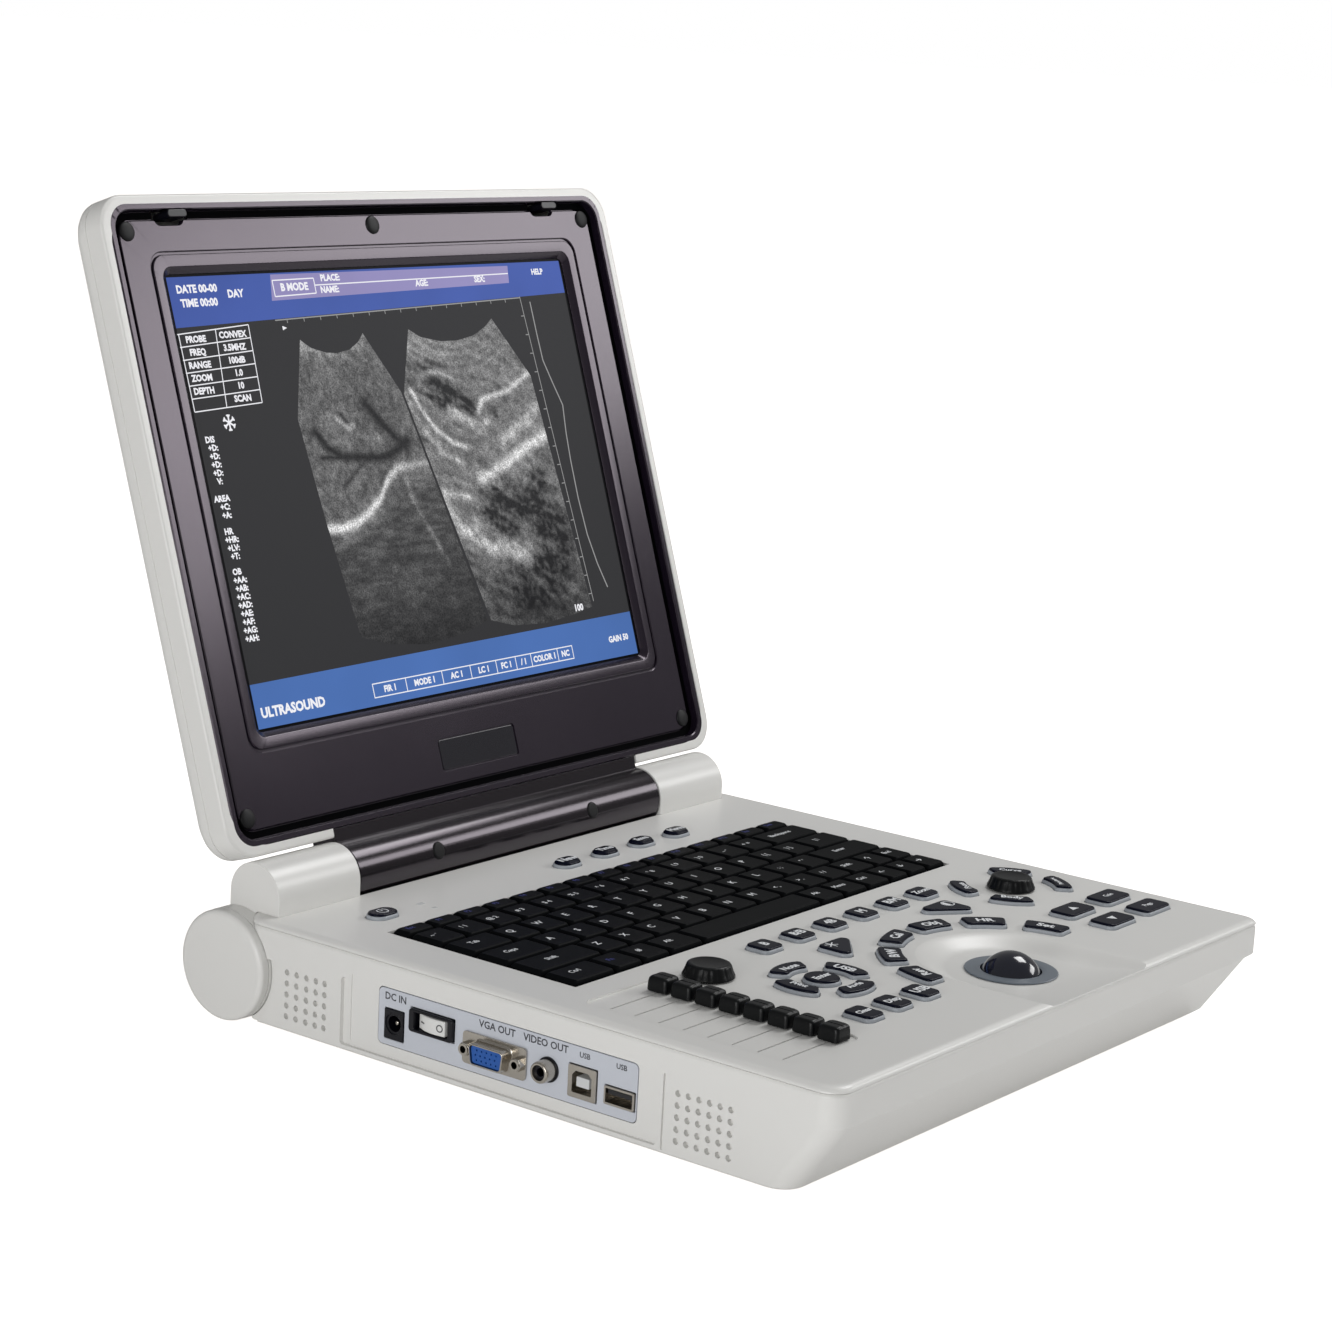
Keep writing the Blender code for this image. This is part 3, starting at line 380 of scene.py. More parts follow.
def piece(name, shape, place, material, body, slot=None, bevel=0.0, segments=2, smooth=32, stands_for=(),
          limit=30, weighted=True, late=None):
    """A finished piece in the row frame: placed, bevelled, shaded, and riding on its body."""
    bmesh.ops.transform(shape, matrix=place, verts=shape.verts)
    item = plain_object(name, shape)
    item.data.materials.append(material)
    if bevel:
        change = item.modifiers.new("soft_edges", "BEVEL")
        change.width = bevel / 1000
        change.segments = segments
        change.limit_method = "ANGLE"
        change.angle_limit = math.radians(limit)
        change.use_clamp_overlap = True
        change.harden_normals = False
        settled(item)
    if late:
        bmesh.ops.transform(late, matrix=place, verts=late.verts)
        changed_by(item, late, "DIFFERENCE")
    item.data.shade_smooth()
    item.data.set_sharp_from_angle(angle=math.radians(smooth))
    if weighted:
        even = item.modifiers.new("even_normals", "WEIGHTED_NORMAL")
        even.keep_sharp = True
        even.weight = 80
    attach(item, body)
    if stands_for:
        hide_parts(*stands_for)
    return item


def lettering(name, lines, place, material, body, slot=None, bold=0.018):
    """Flat printed text. Each line is (words, x, y, lift, size, turn in degrees) on the place's own plane."""
    made = []
    for words, x, y, lift, size, turn in lines:
        curve = bpy.data.curves.new("words", "FONT")
        curve.body = words
        curve.size = size
        curve.align_x = "CENTER"
        curve.align_y = "CENTER"
        curve.resolution_u = 2
        curve.offset = size * bold
        item = bpy.data.objects.new("words", curve)
        item.matrix_world = Matrix.Translation((x, y, lift)) @ Matrix.Rotation(math.radians(turn), 4, "Z")
        bpy.context.scene.collection.objects.link(item)
        made.append(item)
    bpy.context.view_layer.update()
    graph = bpy.context.evaluated_depsgraph_get()
    whole = bmesh.new()
    for item in made:
        mesh = bpy.data.meshes.new_from_object(item.evaluated_get(graph))
        mesh.transform(item.matrix_world)
        whole.from_mesh(mesh)
        bpy.data.meshes.remove(mesh)
    for item in made:
        curve = item.data
        bpy.data.objects.remove(item, do_unlink=True)
        bpy.data.curves.remove(curve)
    return piece(name, whole, place, material, body, slot, weighted=False)


# ---------------------------------------------------------------- case


def case_ring(z, right=RIGHT, front=0.0, inset=0.0, left=LEFT):
    return at_z(rect(left + inset, right - inset, front + inset, REAR, CORNERS, 10), z)


def barrel_space(radius, half=180):
    """A cylinder about the rear barrel's axis."""
    return side_prism(circle(*BARREL, radius, 96), -half, half)


def make_tray():
    crease, slope, right_low, soft, wall = 27.2, 18.5, 149.0, 1.4, 2.5

    def low_ring(z, inset=0.0):
        return case_ring(z, right_low, slope * (1 - z / crease), inset)

    turns = [math.pi / 2 * i / 5 for i in range(6)]
    rings = [low_ring(soft * (1 - math.cos(t)), soft * (1 - math.sin(t))) for t in turns]
    rings += [low_ring(9.0), low_ring(crease - 0.25), case_ring(crease, right_low + 0.3)]
    rings += [case_ring(crease + 0.3, RIGHT - 0.4), case_ring(crease + 0.7), case_ring(SEAM - 1.3)]
    rings += [case_ring(SEAM - 0.5, inset=0.25), case_ring(SEAM, inset=0.7)]
    levels = ((wall, slope, 1.0), (14.0, slope * (1 - 14 / crease), 0.0), (crease, 0.0, 0.0), (SEAM + 5, 0.0, 0.0))
    inner = [case_ring(z, right_low - wall, front + wall, inset, LEFT + wall) for z, front, inset in levels]
    holes = []
    for v in [259.7, 254.5, 249.2, 244.2, 239.5] + [67.5 - 4.66 * i for i in range(6)]:
        for z in (24.3, 19.8, 15.3, 10.8, 6.4):
            holes.append(side_prism(circle(v, z, 1.25, 20), OUTSIDE, LEFT + 2.2))

    def recess(v0, v1, z0, z1, radius, depth):
        return side_prism(rect(v0, v1, z0, z1, radius), OUTSIDE, LEFT + depth)

    window = recess(85.5, 211.5, 7.7, 30.6, 2.3, 6)
    channel = recess(225.6, 230.9, 2.4, 29.4, 1.4, 1.9)
    lower = recess(76.5, 230.5, 2.4, 5.3, 1.2, 1.7)
    edge = recess(73.0, 74.2, 1.5, 30.3, 0.5, 1.0)
    panel = recess(77.3, 225.4, 5.0, 32.0, 1.0, 0.45)
    turns = [math.radians(164 + 84 * i / 24) for i in range(25)]
    reach = BARREL_R + 3.4
    arc = [(BARREL[0] + reach * math.cos(t), BARREL[1] + reach * math.sin(t)) for t in turns]
    slot = side_prism(arc + [(BARREL[0] - 10, 0.6), (BARREL[0] - 10, 26.8)], OUTSIDE, LEFT + 2.0)
    cuts = [loft(inner), panel, channel, lower, edge, barrel_space(BARREL_R + 0.3), slot, window]
    piece("case_tray", carved(loft(rings), cuts), *WHITE_CASE, 0.35, 2, 30, ["bottom_case"], late=joined(holes))


def dish():
    """The space of the trackball's dish, which runs out over the front edge."""
    cx, cy = BALL
    deep, shallow, floor_r, rim_r = 4.4, 1.5, 25.5, 38.6
    radii = [0.0, 12.0, 20.0] + [floor_r + (rim_r - floor_r) * i / 14 for i in range(15)]

    def height(reach, v):
        depth = deep if v > 20 else shallow + (deep - shallow) * (max(v, 0) / 20) ** 0.8
        inner = floor_r + 7.0 * min(1.0, max(0.0, (34 - v) / 28))
        share = min(1.0, max(0.0, (reach - inner) / (rim_r - inner)))
        rise = share * share * (3 - 2 * share)
        return DECK + 0.05 - depth * (1 - rise)

    stations = (-4, 0, 4, 8, 12, 16, 20, 25, 30, 35)
    rows = [[(cx + r * 1.03, v, height(r, v)) for r in radii] for v in stations]
    for turn in [math.pi * i / 48 for i in range(49)]:
        wide = 1 + 0.03 * abs(math.cos(turn)) ** 3
        rows.append([(cx + r * wide * math.cos(turn), cy + r * math.sin(turn), height(r, cy)) for r in radii])
    rows += [[(cx - r * 1.03, v, height(r, v)) for r in radii] for v in reversed(stations)]
    shape = bmesh.new()
    grid = [[shape.verts.new(point) for point in row] for row in rows]
    top = [shape.verts.new((row[-1][0], row[-1][1], DECK + 6)) for row in rows]
    for a in range(len(grid) - 1):
        b = a + 1
        for k in range(len(radii) - 1):
            shape.faces.new((grid[a][k], grid[b][k], grid[b][k + 1], grid[a][k + 1]))
        shape.faces.new((grid[a][-1], grid[b][-1], top[b], top[a]))
    shape.faces.new(top)
    shape.faces.new([top[0]] + grid[0][::-1] + grid[-1][1:] + [top[-1]])
    bmesh.ops.remove_doubles(shape, verts=shape.verts, dist=0.001)
    bmesh.ops.recalc_face_normals(shape, faces=shape.faces)
    return shape


KNOB_SPOTS = {"knob_left": (-81.5, 108.7), "knob_right": (114.5, 95.7)}
KNOB_KEYS = {"focus_button": 32.4, "curved_button": 327.6, "body_button": 212.4, "slant_button": 147.6}
RING_SPOT = (-54.4, 75.5)
POWER_SPOT = (-113.7, 246.0)
CURSOR_XS, CURSOR_VS = (101.2, 130.4), (39.0, 57.8)
SLIDER_X, SLIDER_TRAVEL = -106.0, 28.0
SLIDER_VS = [34.3 + 11.0 * i for i in range(8)]


def oval(x, v, width, depth):
    return block(x, v, width, depth, depth * 0.495, 8)


def button_outlines():
    found = {"power_button": [oval(*POWER_SPOT, 14.3, 9.6)]}
    for i, x in enumerate((0.6, 26.0, 51.2, 76.0)):
        found[f"function_button_{i + 1}"] = [oval(x, 245.3, 13.8, 9.4)]
    for i in range(6):
        found[f"mode_button_{i + 1}"] = [block(-36.2 + 22.34 * i, 115.4, 12.7, 11.8, 2.8)]
    found["freeze_button"] = [rounded([(-22.7, 101.1), (-22.7, 82.5), (1.7, 101.1)], 3.2, 8)]
    found["contrast_button"] = [rounded([(47.0, 102.5), (72.0, 83.5), (72.0, 102.5)], 3.2, 8)]
    for name, angle in KNOB_KEYS.items():
        found[name] = [bent(KNOB_SPOTS["knob_right"], 22.7, 18.0, 7.9, angle, 2.4)]
    found["cursor_pad"] = [block(x, v, 20.8, 12.5, 3.0) for x in CURSOR_XS for v in CURSOR_VS]
    found["arc_pad"] = [bent(BALL, 48.0, 18.2, 10.3, angle) for angle in range(15, 180, 30)]
    found["trio_pad"] = [block(x, 40.4, 11.4, 13.5, 2.8) for x in (-78.1, -59.2, -40.4)]
    found["ring_centre"] = [circle(*RING_SPOT, 7.4, 40)]
    found["ring_petals"] = [bent(RING_SPOT, 16.5, 18.6, 8.3, angle, 2.4) for angle in (0, 90, 180, 270)]
    return found


def make_deck():
    round_z = SEAM + 0.5
    rings = [case_ring(SEAM + 0.08, inset=0.7), case_ring(round_z)]
    for turn in [math.pi / 2 * i / 8 for i in range(1, 9)]:
        inset = 3.4 * (1 - math.cos(turn))
        rings.append(case_ring(round_z + (DECK - round_z) * math.sin(turn), inset=inset))
    skirt = prism(circle(*BALL, 39.5, 72), 36.4, SEAM + 1)
    front = box(BALL[0] - 39.5, BALL[0] + 39.5, 3.0, 41.0, 36.9, SEAM + 1)
    low, high = 30.0, DECK + 10
    outlines = [rect(*KEYBOARD, 0.6, 2)]
    for group in button_outlines().values():
        outlines += [grown(outline, BUTTON_GAP) for outline in group]
    for v in SLIDER_VS:
        ends = (SLIDER_X - SLIDER_TRAVEL - 3.2, SLIDER_X + 3.2)
        outlines.append(rect(*ends, v - 0.4, v + 0.4, 0.35, 3))
    outlines += [circle(x, v, 3.4, 24) for x, v in KNOB_SPOTS.values()]
    outlines.append(circle(*BALL, 15.4, 64))
    holes = joined([prism(outline, low, high) for outline in outlines])
    tray = prism(rect(-141, -98, 27, 122, 5.0), DECK - 0.8, high)
    saddle = box(-SADDLE, SADDLE, 272.2, REAR + 3, low, high)
    shape = carved(loft(rings), [dish(), tray, saddle, holes, barrel_space(BARREL_R + 0.3)], [skirt, front])
    piece("deck", shape, *WHITE_CASE, 0.3, 2, 35, ["top_case"], 40)


def make_barrel():
    tube = barrel_space(BARREL_R, 151.6)
    saddle = side_prism(circle(AXLE_V, AXLE_Z, 14.0, 64), -SADDLE, SADDLE)
    bore = side_prism(circle(BARREL[0], BATTERY_Z, 15.0, 48), -170, 170)
    shafts = side_prism(circle(AXLE_V, AXLE_Z, SHAFT_BORE, 32), -115, 115)
    piece("barrel_tube", carved(tube, [bore, saddle, shafts]), *WHITE_CASE, 0.3, 2, 30, ["rear_barrel"])
    plug_r = 14.2
    profile = [(plug_r, 143.9), (plug_r, 151.7), (21.9, 151.7), (22.4, 152.0), (22.4, 154.6), (22.25, 155.3),
               (21.8, 155.9), (21.1, 156.3), (20.2, 156.5)]
    for side, name in SIDES:
        rows = []
        for radius, x in profile:
            z = BATTERY_Z if radius == plug_r else BARREL[1]
            rows.append([(side * x, a, b) for a, b in circle(BARREL[0], z, radius, 96)])
        piece("end_cap_" + name, loft(rows), *WHITE_CASE, 0, 1, 40, ["barrel_cap_" + name])


def make_hinge_covers():
    radius = 13.6
    turns = [math.pi * i / 28 for i in range(29)]
    arc = [(AXLE_V + radius * math.cos(t), AXLE_Z + radius * math.sin(t)) for t in turns]
    profile = arc + [(AXLE_V - radius, DECK - 0.1), (AXLE_V - 2, DECK - 0.1), (AXLE_V + radius, 34.0)]
    for side, name in SIDES:
        bore = side_prism(circle(AXLE_V, AXLE_Z, SHAFT_BORE, 40), *sorted((side * 90, side * 115)))
        ends = sorted((side * 99.1, side * 145.6))
        shape = carved(side_prism(profile, *ends), [bore, barrel_space(BARREL_R - 0.05)])
        piece("cover_" + name, shape, *WHITE_CASE, 0.9, 3, 35, ["hinge_cover_" + name], 50)


def make_keyboard():
    x0, x1, v0, v1 = KEYBOARD
    plate = rect(x0 + 0.4, x1 - 0.4, v0 + 0.4, v1 - 0.4, 0.4, 2)
    piece("key_plate", prism(plate, 37.5, KEY_BASE), CASE, PLATE_AND_GROOVE_SHADE, "case", "key_black", stands_for=["keyboard"])
    rows = (
        [("Ctrl", 1.5), ("Fn", 1), ("", 1), ("Alt", 1.25), ("", 4.75), ("Alt", 1), ("Menu", 1), ("Ctrl", 1),
         ("←", 0.83), ("↓", 0.83), ("→", 0.84)],
        [("Shift", 2.25)] + [(c, 1) for c in [*"ZXCVBNM", "< ,", "> .", "? /"]]
        + [("Shift", 1.05), ("↑", 0.85), ("End", 0.85)],
        [("Caps", 1.75)] + [(c, 1) for c in [*"ASDFGHJKL", ": ;", "\" '"]] + [("Enter", 2.25)],
        [("Tab", 1.5)] + [(c, 1) for c in [*"QWERTYUIOP", "{ [", "} ]"]] + [("| \\", 1.5)],
        [(c, 1) for c in ("~ `", "! 1", "@ 2", "# 3", "$ 4", "% 5", "^ 6", "& 7", "* 8", "( 9", ") 0")]
        + [("_ -", 1), ("+ =", 1), ("Backspace", 2)],
        [(c, 1) for c in ["Esc"] + ["F%d" % i for i in range(1, 13)] + ["Ins", "Del"]],
    )
    # Each level: the inset at the sides, at the front and at the rear, and the rise over the plate.
    levels = ((0.6, 0.6, 0.6, 0.0), (0.7, 0.7, 0.7, 2.2), (1.4, 1.1, 1.5, 3.35), (1.8, 1.5, 2.0, 3.75),
              (2.3, 2.0, 2.7, 3.8), (3.4, 3.0, 3.8, 3.7))
    pitch, row_pitch, margin, legend_z = 17.0, 16.7, 0.9, KEY_BASE + 3.78
    keys, white, blue = [], [], []
    for row, cells in enumerate(rows):
        top_row = row == 5
        front = v0 + margin + row_pitch * row
        rear = v1 - margin if top_row else front + row_pitch
        left = -7.5 * pitch
        for words, width in cells:
            right = left + width * pitch
            cx, cy = (left + right) / 2, (front + rear) / 2
            rings = []
            for inset, near_inset, rear_inset, rise in levels:
                outline = rect(left + inset, right - inset, front + near_inset, rear - rear_inset, 1.1, 3)
                rings.append(at_z(outline, KEY_BASE + rise))
            keys.append(loft(rings))
            if words:
                size = 3.2 if top_row else 3.6 if len(words) > 1 else 4.6
                target = blue if top_row or words == "Fn" else white
                shift = min(2.2, (right - left) * 0.12)
                target.append((words, cx - shift, cy + (0.2 if top_row else 0.8), legend_z, size, 0))
            elif width == 1:
                white.append(("#", cx - 1.5, cy + 1, legend_z, 4.2, 0))
            left = right
    piece("keycaps", joined(keys), CASE, KEYS, "case", "key_black", 0, 1, 24)
    lettering("key_legends", white, CASE, PRINT_WHITE, "case", "key_black")
    lettering("key_legends_blue", blue, CASE, PRINT_BLUE, "case", "key_black")


LABELS = {
    "function_button_1": ["New"], "function_button_2": ["Time"], "function_button_3": ["Save"],
    "function_button_4": ["Menu"],
    "mode_button_1": ["B"], "mode_button_2": ["B/B"], "mode_button_3": ["4B"], "mode_button_4": ["M"],
    "mode_button_5": ["B/M"], "mode_button_6": ["Zoom"],
    "focus_button": ["Curve"], "curved_button": ["Puncture"], "body_button": ["Body"], "slant_button": ["Focus"],
    "trio_pad": ["Clear", "Disp", "USB"],
    "ring_centre": ["Enter"],
    "arc_pad": ["Set", "HR", "Obj", "Cal", "B/W", "Rev"],
    "ring_petals": ["USB", "Note", "Print", "Angle"],
}


def make_buttons():
    hubs = {"arc_pad": BALL, "ring_petals": RING_SPOT}
    hubs.update({name: KNOB_SPOTS["knob_right"] for name in KNOB_KEYS})
    for name, outlines in button_outlines().items():
        function = name.startswith("function")
        top = DECK + (2.8 if function else 2.3)
        split = top - (1.5 if function else 0.9)
        deep = 35.9 if name in ("cursor_pad", "arc_pad", "trio_pad", "ring_petals") else 37.4
        skirts, caps, words = [], [], []
        for i, outline in enumerate(outlines):
            rings = [at_z(outline, deep), at_z(outline, split - 0.7), at_z(grown(outline, -0.12), split - 0.25),
                     at_z(grown(outline, -0.4), split)]
            skirts.append(loft(rings))
            levels = ((0.55, split - 0.1), (0.5, split + 0.25), (0.62, split + 0.6), (0.95, split + 0.83),
                      (1.5, top))
            caps.append(loft([at_z(grown(outline, -inset), z) for inset, z in levels]))
            if name not in LABELS:
                continue
            text = LABELS[name][i]
            cx = sum(p[0] for p in outline) / len(outline)
            cy = sum(p[1] for p in outline) / len(outline)
            turn = 0.0
            if name in hubs:
                turn = math.degrees(math.atan2(cy - hubs[name][1], cx - hubs[name][0])) - 90
                turn = (turn + 90) % 180 - 90
            size = 4.4 if name == "ring_centre" else min(5.6, 14.0 / max(2, len(text)) + 1.0)
            words.append((text, cx, cy, top + 0.03, size, turn))
        piece(name + "_skirt", joined(skirts), CASE, SKIRTS, name, "cap_navy", 0, 1, 40, [name])
        piece(name + "_cap", joined(caps), CASE, CAPS, name, "cap_navy", 0, 1, 50)
        if words:
            lettering(name + "_print", words, CASE, PRINT_WHITE, name, "cap_navy", 0.04)


def band(outline, width, z):
    """A flat printed line along an outline."""
    return loft([at_z(outline, z), at_z(grown(outline, -width), z)], caps=False)


def flat(outline, z):
    shape = bmesh.new()
    shape.faces.new([shape.verts.new((x, y, z)) for x, y in outline])
    return shape


def make_symbols():
    top = DECK + 2.33

    def printed(name, shapes, body):
        piece(name, joined(shapes), CASE, PRINT_WHITE, body, "cap_navy", weighted=False)

    x, v = POWER_SPOT
    turns = [math.radians(a) for a in range(125, 416, 10)]
    outer = [(x + 2.6 * math.cos(t), v + 2.6 * math.sin(t)) for t in turns]
    inner = [(x + 2.05 * math.cos(t), v + 2.05 * math.sin(t)) for t in reversed(turns)]
    stem = flat(rect(x - 0.3, x + 0.3, v - 0.2, v + 2.6), top + 0.01)
    printed("power_symbol", [flat(outer + inner, top), stem], "power_button")
    x, v = -17.8, 96.6
    rays = []
    for i in range(3):
        turn = math.radians(30 + 60 * i)
        c, s = math.cos(turn), math.sin(turn)
        ends = [(-3.0, -0.28), (3.0, -0.28), (3.0, 0.28), (-3.0, 0.28)]
        rays.append(flat([(x + a * c - b * s, v + a * s + b * c) for a, b in ends], top + 0.004 * i))
    printed("freeze_symbol", rays, "freeze_button")
    x, v = 67.2, 97.2
    turns = [math.pi / 2 + math.pi * i / 16 for i in range(17)]
    half = [(x + 2.3 * math.cos(t), v + 2.3 * math.sin(t)) for t in turns]
    printed("contrast_symbol", [band(circle(x, v, 3.0, 32), 0.5, top), flat(half, top)], "contrast_button")
    x, (low_v, high_v) = CURSOR_XS[0], CURSOR_VS
    arrows = []
    for v, sign in ((high_v, 1), (low_v, -1)):
        base = v - 1.6 * sign
        arrows.append(flat([(x - 2.4, base), (x + 2.4, base), (x, v + 2.2 * sign)], top))
    printed("cursor_arrows", arrows, "cursor_pad")
    words = [("Gain", CURSOR_XS[1], high_v, top, 3.4, 0), ("Page", CURSOR_XS[1], low_v, top, 3.4, 0)]
    lettering("cursor_print", words, CASE, PRINT_WHITE, "cursor_pad", "cap_navy")
    lamps = [prism(rect(-91.2, -87.6, 246.6, 248.8, 0.4, 2), 40.5, DECK + 0.12),
             prism(rect(-90.7, -88.1, 239.4, 240.9, 0.3, 2), 40.5, DECK + 0.12)]
    piece("status_lamps", joined(lamps), CASE, PIPE, "case", "case_white", 0, 1, 30)


def make_knobs():
    # Each row: the radius, the height, and how deep the flutes are.
    profile = [(3.0, 34.0, 0), (3.0, 42.8, 0), (9.7, 42.8, 0), (10.2, 43.1, 0), (10.2, 43.7, 0.2), (9.7, 44.6, 1),
               (9.0, 46.4, 1), (8.7, 47.3, 0.7), (8.3, 47.9, 0.2), (7.6, 48.2, 0), (6.6, 48.2, 0), (5.8, 47.9, 0),
               (0.2, 47.8, 0)]
    flutes, flute_depth, steps = 18, 0.28, 144
    for name, (x, v) in KNOB_SPOTS.items():
        rings = []
        for radius, z, lobes in profile:
            ring = []
            for turn in [2 * math.pi * i / steps for i in range(steps)]:
                reach = radius - flute_depth * lobes * (0.5 + 0.5 * math.cos(flutes * turn)) ** 3
                ring.append((x + reach * math.cos(turn), v + reach * math.sin(turn), z))
            rings.append(ring)
        piece(name + "_grip", loft(rings), CASE, KNOBS, name, "satin_black", 0, 1, 40, [name])


def make_trackball():
    x, v = BALL
    ball_z, seat_r = 33.3, 13.3
    ball = bmesh.new()
    bmesh.ops.create_uvsphere(ball, u_segments=72, v_segments=36, radius=12.7)
    bmesh.ops.translate(ball, vec=(x, v, ball_z), verts=ball.verts)
    piece("ball", ball, CASE, BALLS, "trackball", "ball_navy", 0, 1, 180, ["trackball"], weighted=False)
    profile = [(14.6, 22.0), (14.6, 38.2), (18.3, 38.2), (18.5, 38.5), (18.2, 38.8), (14.0, 39.0), (13.2, 38.9)]
    for turn in [math.radians(degrees) for degrees in range(24, -61, -6)]:
        profile.append((seat_r * math.cos(turn), ball_z + seat_r * math.sin(turn)))
    rows = [at_z([(x + a, v + b) for a, b in circle(0, 0, r, 72)], z) for r, z in profile]
    piece("ball_ring", loft(rows, ring=True), CASE, RINGS, "case", "ring_grey", 0, 1, 40, ["trackball_ring"])


def make_sliders():
    low = DECK - 0.4
    # Each level: the inset from the cap's widest outline, and the height over its foot.
    levels = ((0.3, 0.0), (0.0, 0.3), (0.0, 1.6), (0.1, 3.6), (0.3, 4.8), (0.6, 5.3), (1.1, 5.65), (1.8, 5.75))
    for i, v in enumerate(SLIDER_VS):
        rings = []
        for inset, rise in levels:
            rings.append(at_z(block(SLIDER_X, v, 9.2 - 2 * inset, 9.3 - 2 * inset, 1.5, 5), low + rise))
        groove = box(SLIDER_X - 0.3, SLIDER_X + 0.3, v - 6, v + 6, DECK + 5.1, DECK + 8)
        stem = box(SLIDER_X - 2.4, SLIDER_X + 2.4, v - 0.3, v + 0.3, 34.0, low + 1)
        cap = carved(loft(rings), [groove], [stem])
        body = f"slider_{i + 1}"
        piece("gain_" + body, cap, CASE, KNOBS, body, "satin_black", 0, 1, 40, [body])


# ---------------------------------------------------------------- sockets

SOCKETS = {
    "dc": (198.2, 207.8, 10.7, 22.5),
    "switch": (172.8, 194.8, 16.7, 25.8),
    "vga": (136.9, 167.7, 11.1, 23.6),
    "usb_b": (104.2, 117.2, 10.9, 23.2),
    "usb_a": (86.6, 100.4, 12.2, 19.2),
}
VIDEO = (126.8, 18.2)


def side_box(v0, v1, z0, z1, x0, x1, radius=0.0):
    return side_prism(rect(v0, v1, z0, z1, radius, 4), x0, x1)


def middle(name):
    """The socket's centre, as (v, z)."""
    v0, v1, z0, z1 = SOCKETS[name]
    return (v0 + v1) / 2, (z0 + z1) / 2


def make_port_plate():
    face, gap = LEFT + 0.2, 0.25
    holes = []
    for name, (v0, v1, z0, z1) in SOCKETS.items():
        if name == "vga":
            mid = middle("vga")[0]
            v0, v1, z0, z1 = mid - 9.0, mid + 9.0, z0 + 1.6, z1 - 1.6
        holes.append(side_box(v0 - gap, v1 + gap, z0 - gap, z1 + gap, face - 5, face + 9, 0.3))
    holes.append(side_prism(circle(*VIDEO, 4.6, 40), face - 5, face + 9))
    shape = carved(side_prism(rect(85.8, 211.2, 8.0, 30.3, 2.2), face, face + 2.2), [joined(holes)])
    piece("socket_plate", shape, CASE, PLATE, "case", "plate_lavender", 0.25, 2, 30, ["port_plate"])
    # On the side wall the reader looks along +X, so the print's x runs towards the front.
    turn = Matrix(((0, 0, -1, 0), (-1, 0, 0, 0), (0, 1, 0, 0), (0, 0, 0, 1)))
    spots = (("DC IN", 202.6, 27.3, 4.0), ("VGA OUT", 152.0, 27.6, 4.0), ("VIDEO OUT", 128.6, 27.7, 4.0),
             ("USB", 110.2, 27.4, 2.9), ("USB", 93.2, 27.4, 2.9))
    words = [(text, -v, z, 0.05, size, 0) for text, v, z, size in spots]
    wall = CASE @ Matrix.Translation((face, 0, 0)) @ turn
    lettering("socket_labels", words, wall, INK, "case", "plate_lavender")


def make_power_jack():
    mid, z, face = middle("dc")[0], 17.0, LEFT - 0.3
    bore = side_prism(circle(mid, z, 3.1, 40), LEFT - 5, LEFT + 9)
    dimple = side_prism(circle(mid, z, 4.1, 40), LEFT - 5, face + 0.6)
    housing = carved(side_box(*SOCKETS["dc"], face, SOCKET_END, 0.4), [bore, dimple])
    piece("dc_housing", housing, *SOCKET_BLACK, 0.25, 2, 30, ["dc_jack"])
    pin = turned([(1.0, LEFT + 9.4), (1.0, LEFT + 2.2), (0.8, LEFT + 1.6), (0.3, LEFT + 1.3)], (mid, z), 24, "x")
    piece("dc_pin", pin, *METAL, 0, 1, 40)


def make_switch():
    z0, z1 = SOCKETS["switch"][2:]
    mid, z = middle("switch")
    well = side_box(mid - 8.5, mid + 8.5, z0 + 1.2, z1 - 1.2, LEFT - 5, LEFT + 9, 0.6)
    housing = carved(side_box(*SOCKETS["switch"], LEFT - 1.2, SOCKET_END, 1.4), [well])
    piece("switch_frame", housing, *SOCKET_BLACK, 0.45, 3, 30, ["switch_housing"])
    pivot_x = LEFT + 4.0
    profile = [(-3.0, 7.3), (-4.7, 3.4), (-5.3, 0.0), (-5.4, -2.8), (-4.9, -7.1), (1.8, -7.0), (3.2, 0.0),
               (1.8, 7.0)]
    rocker = prism([(pivot_x + a, mid + b) for a, b in profile], z0 + 1.5, z1 - 1.5)
    on_rocker = ("switch_rocker", "switch_white")
    piece("rocker", rocker, CASE, SWITCH, *on_rocker, 0.45, 3, 30, ["switch_rocker"], 15)
    line = bmesh.new()
    (xa, ya), (xb, yb) = (pivot_x - 4.81, mid + 3.2), (pivot_x - 3.72, mid + 5.8)
    corners = ((xa, ya, z - 0.28), (xb, yb, z - 0.28), (xb, yb, z + 0.28), (xa, ya, z + 0.28))
    line.faces.new([line.verts.new(point) for point in corners])
    ring = bmesh.new()
    outer, inner = [], []
    for turn in [2 * math.pi * i / 24 for i in range(24)]:
        for radius, row in ((1.5, outer), (1.05, inner)):
            y = mid - 4.8 + radius * math.cos(turn)
            x = pivot_x - 5.48 + 0.116 * (mid - 2.8 - y)
            row.append(ring.verts.new((x, y, z + radius * math.sin(turn))))
    for i in range(24):
        j = (i + 1) % 24
        ring.faces.new((outer[i], outer[j], inner[j], inner[i]))
    piece("rocker_marks", joined([line, ring]), CASE, INK, *on_rocker, weighted=False)


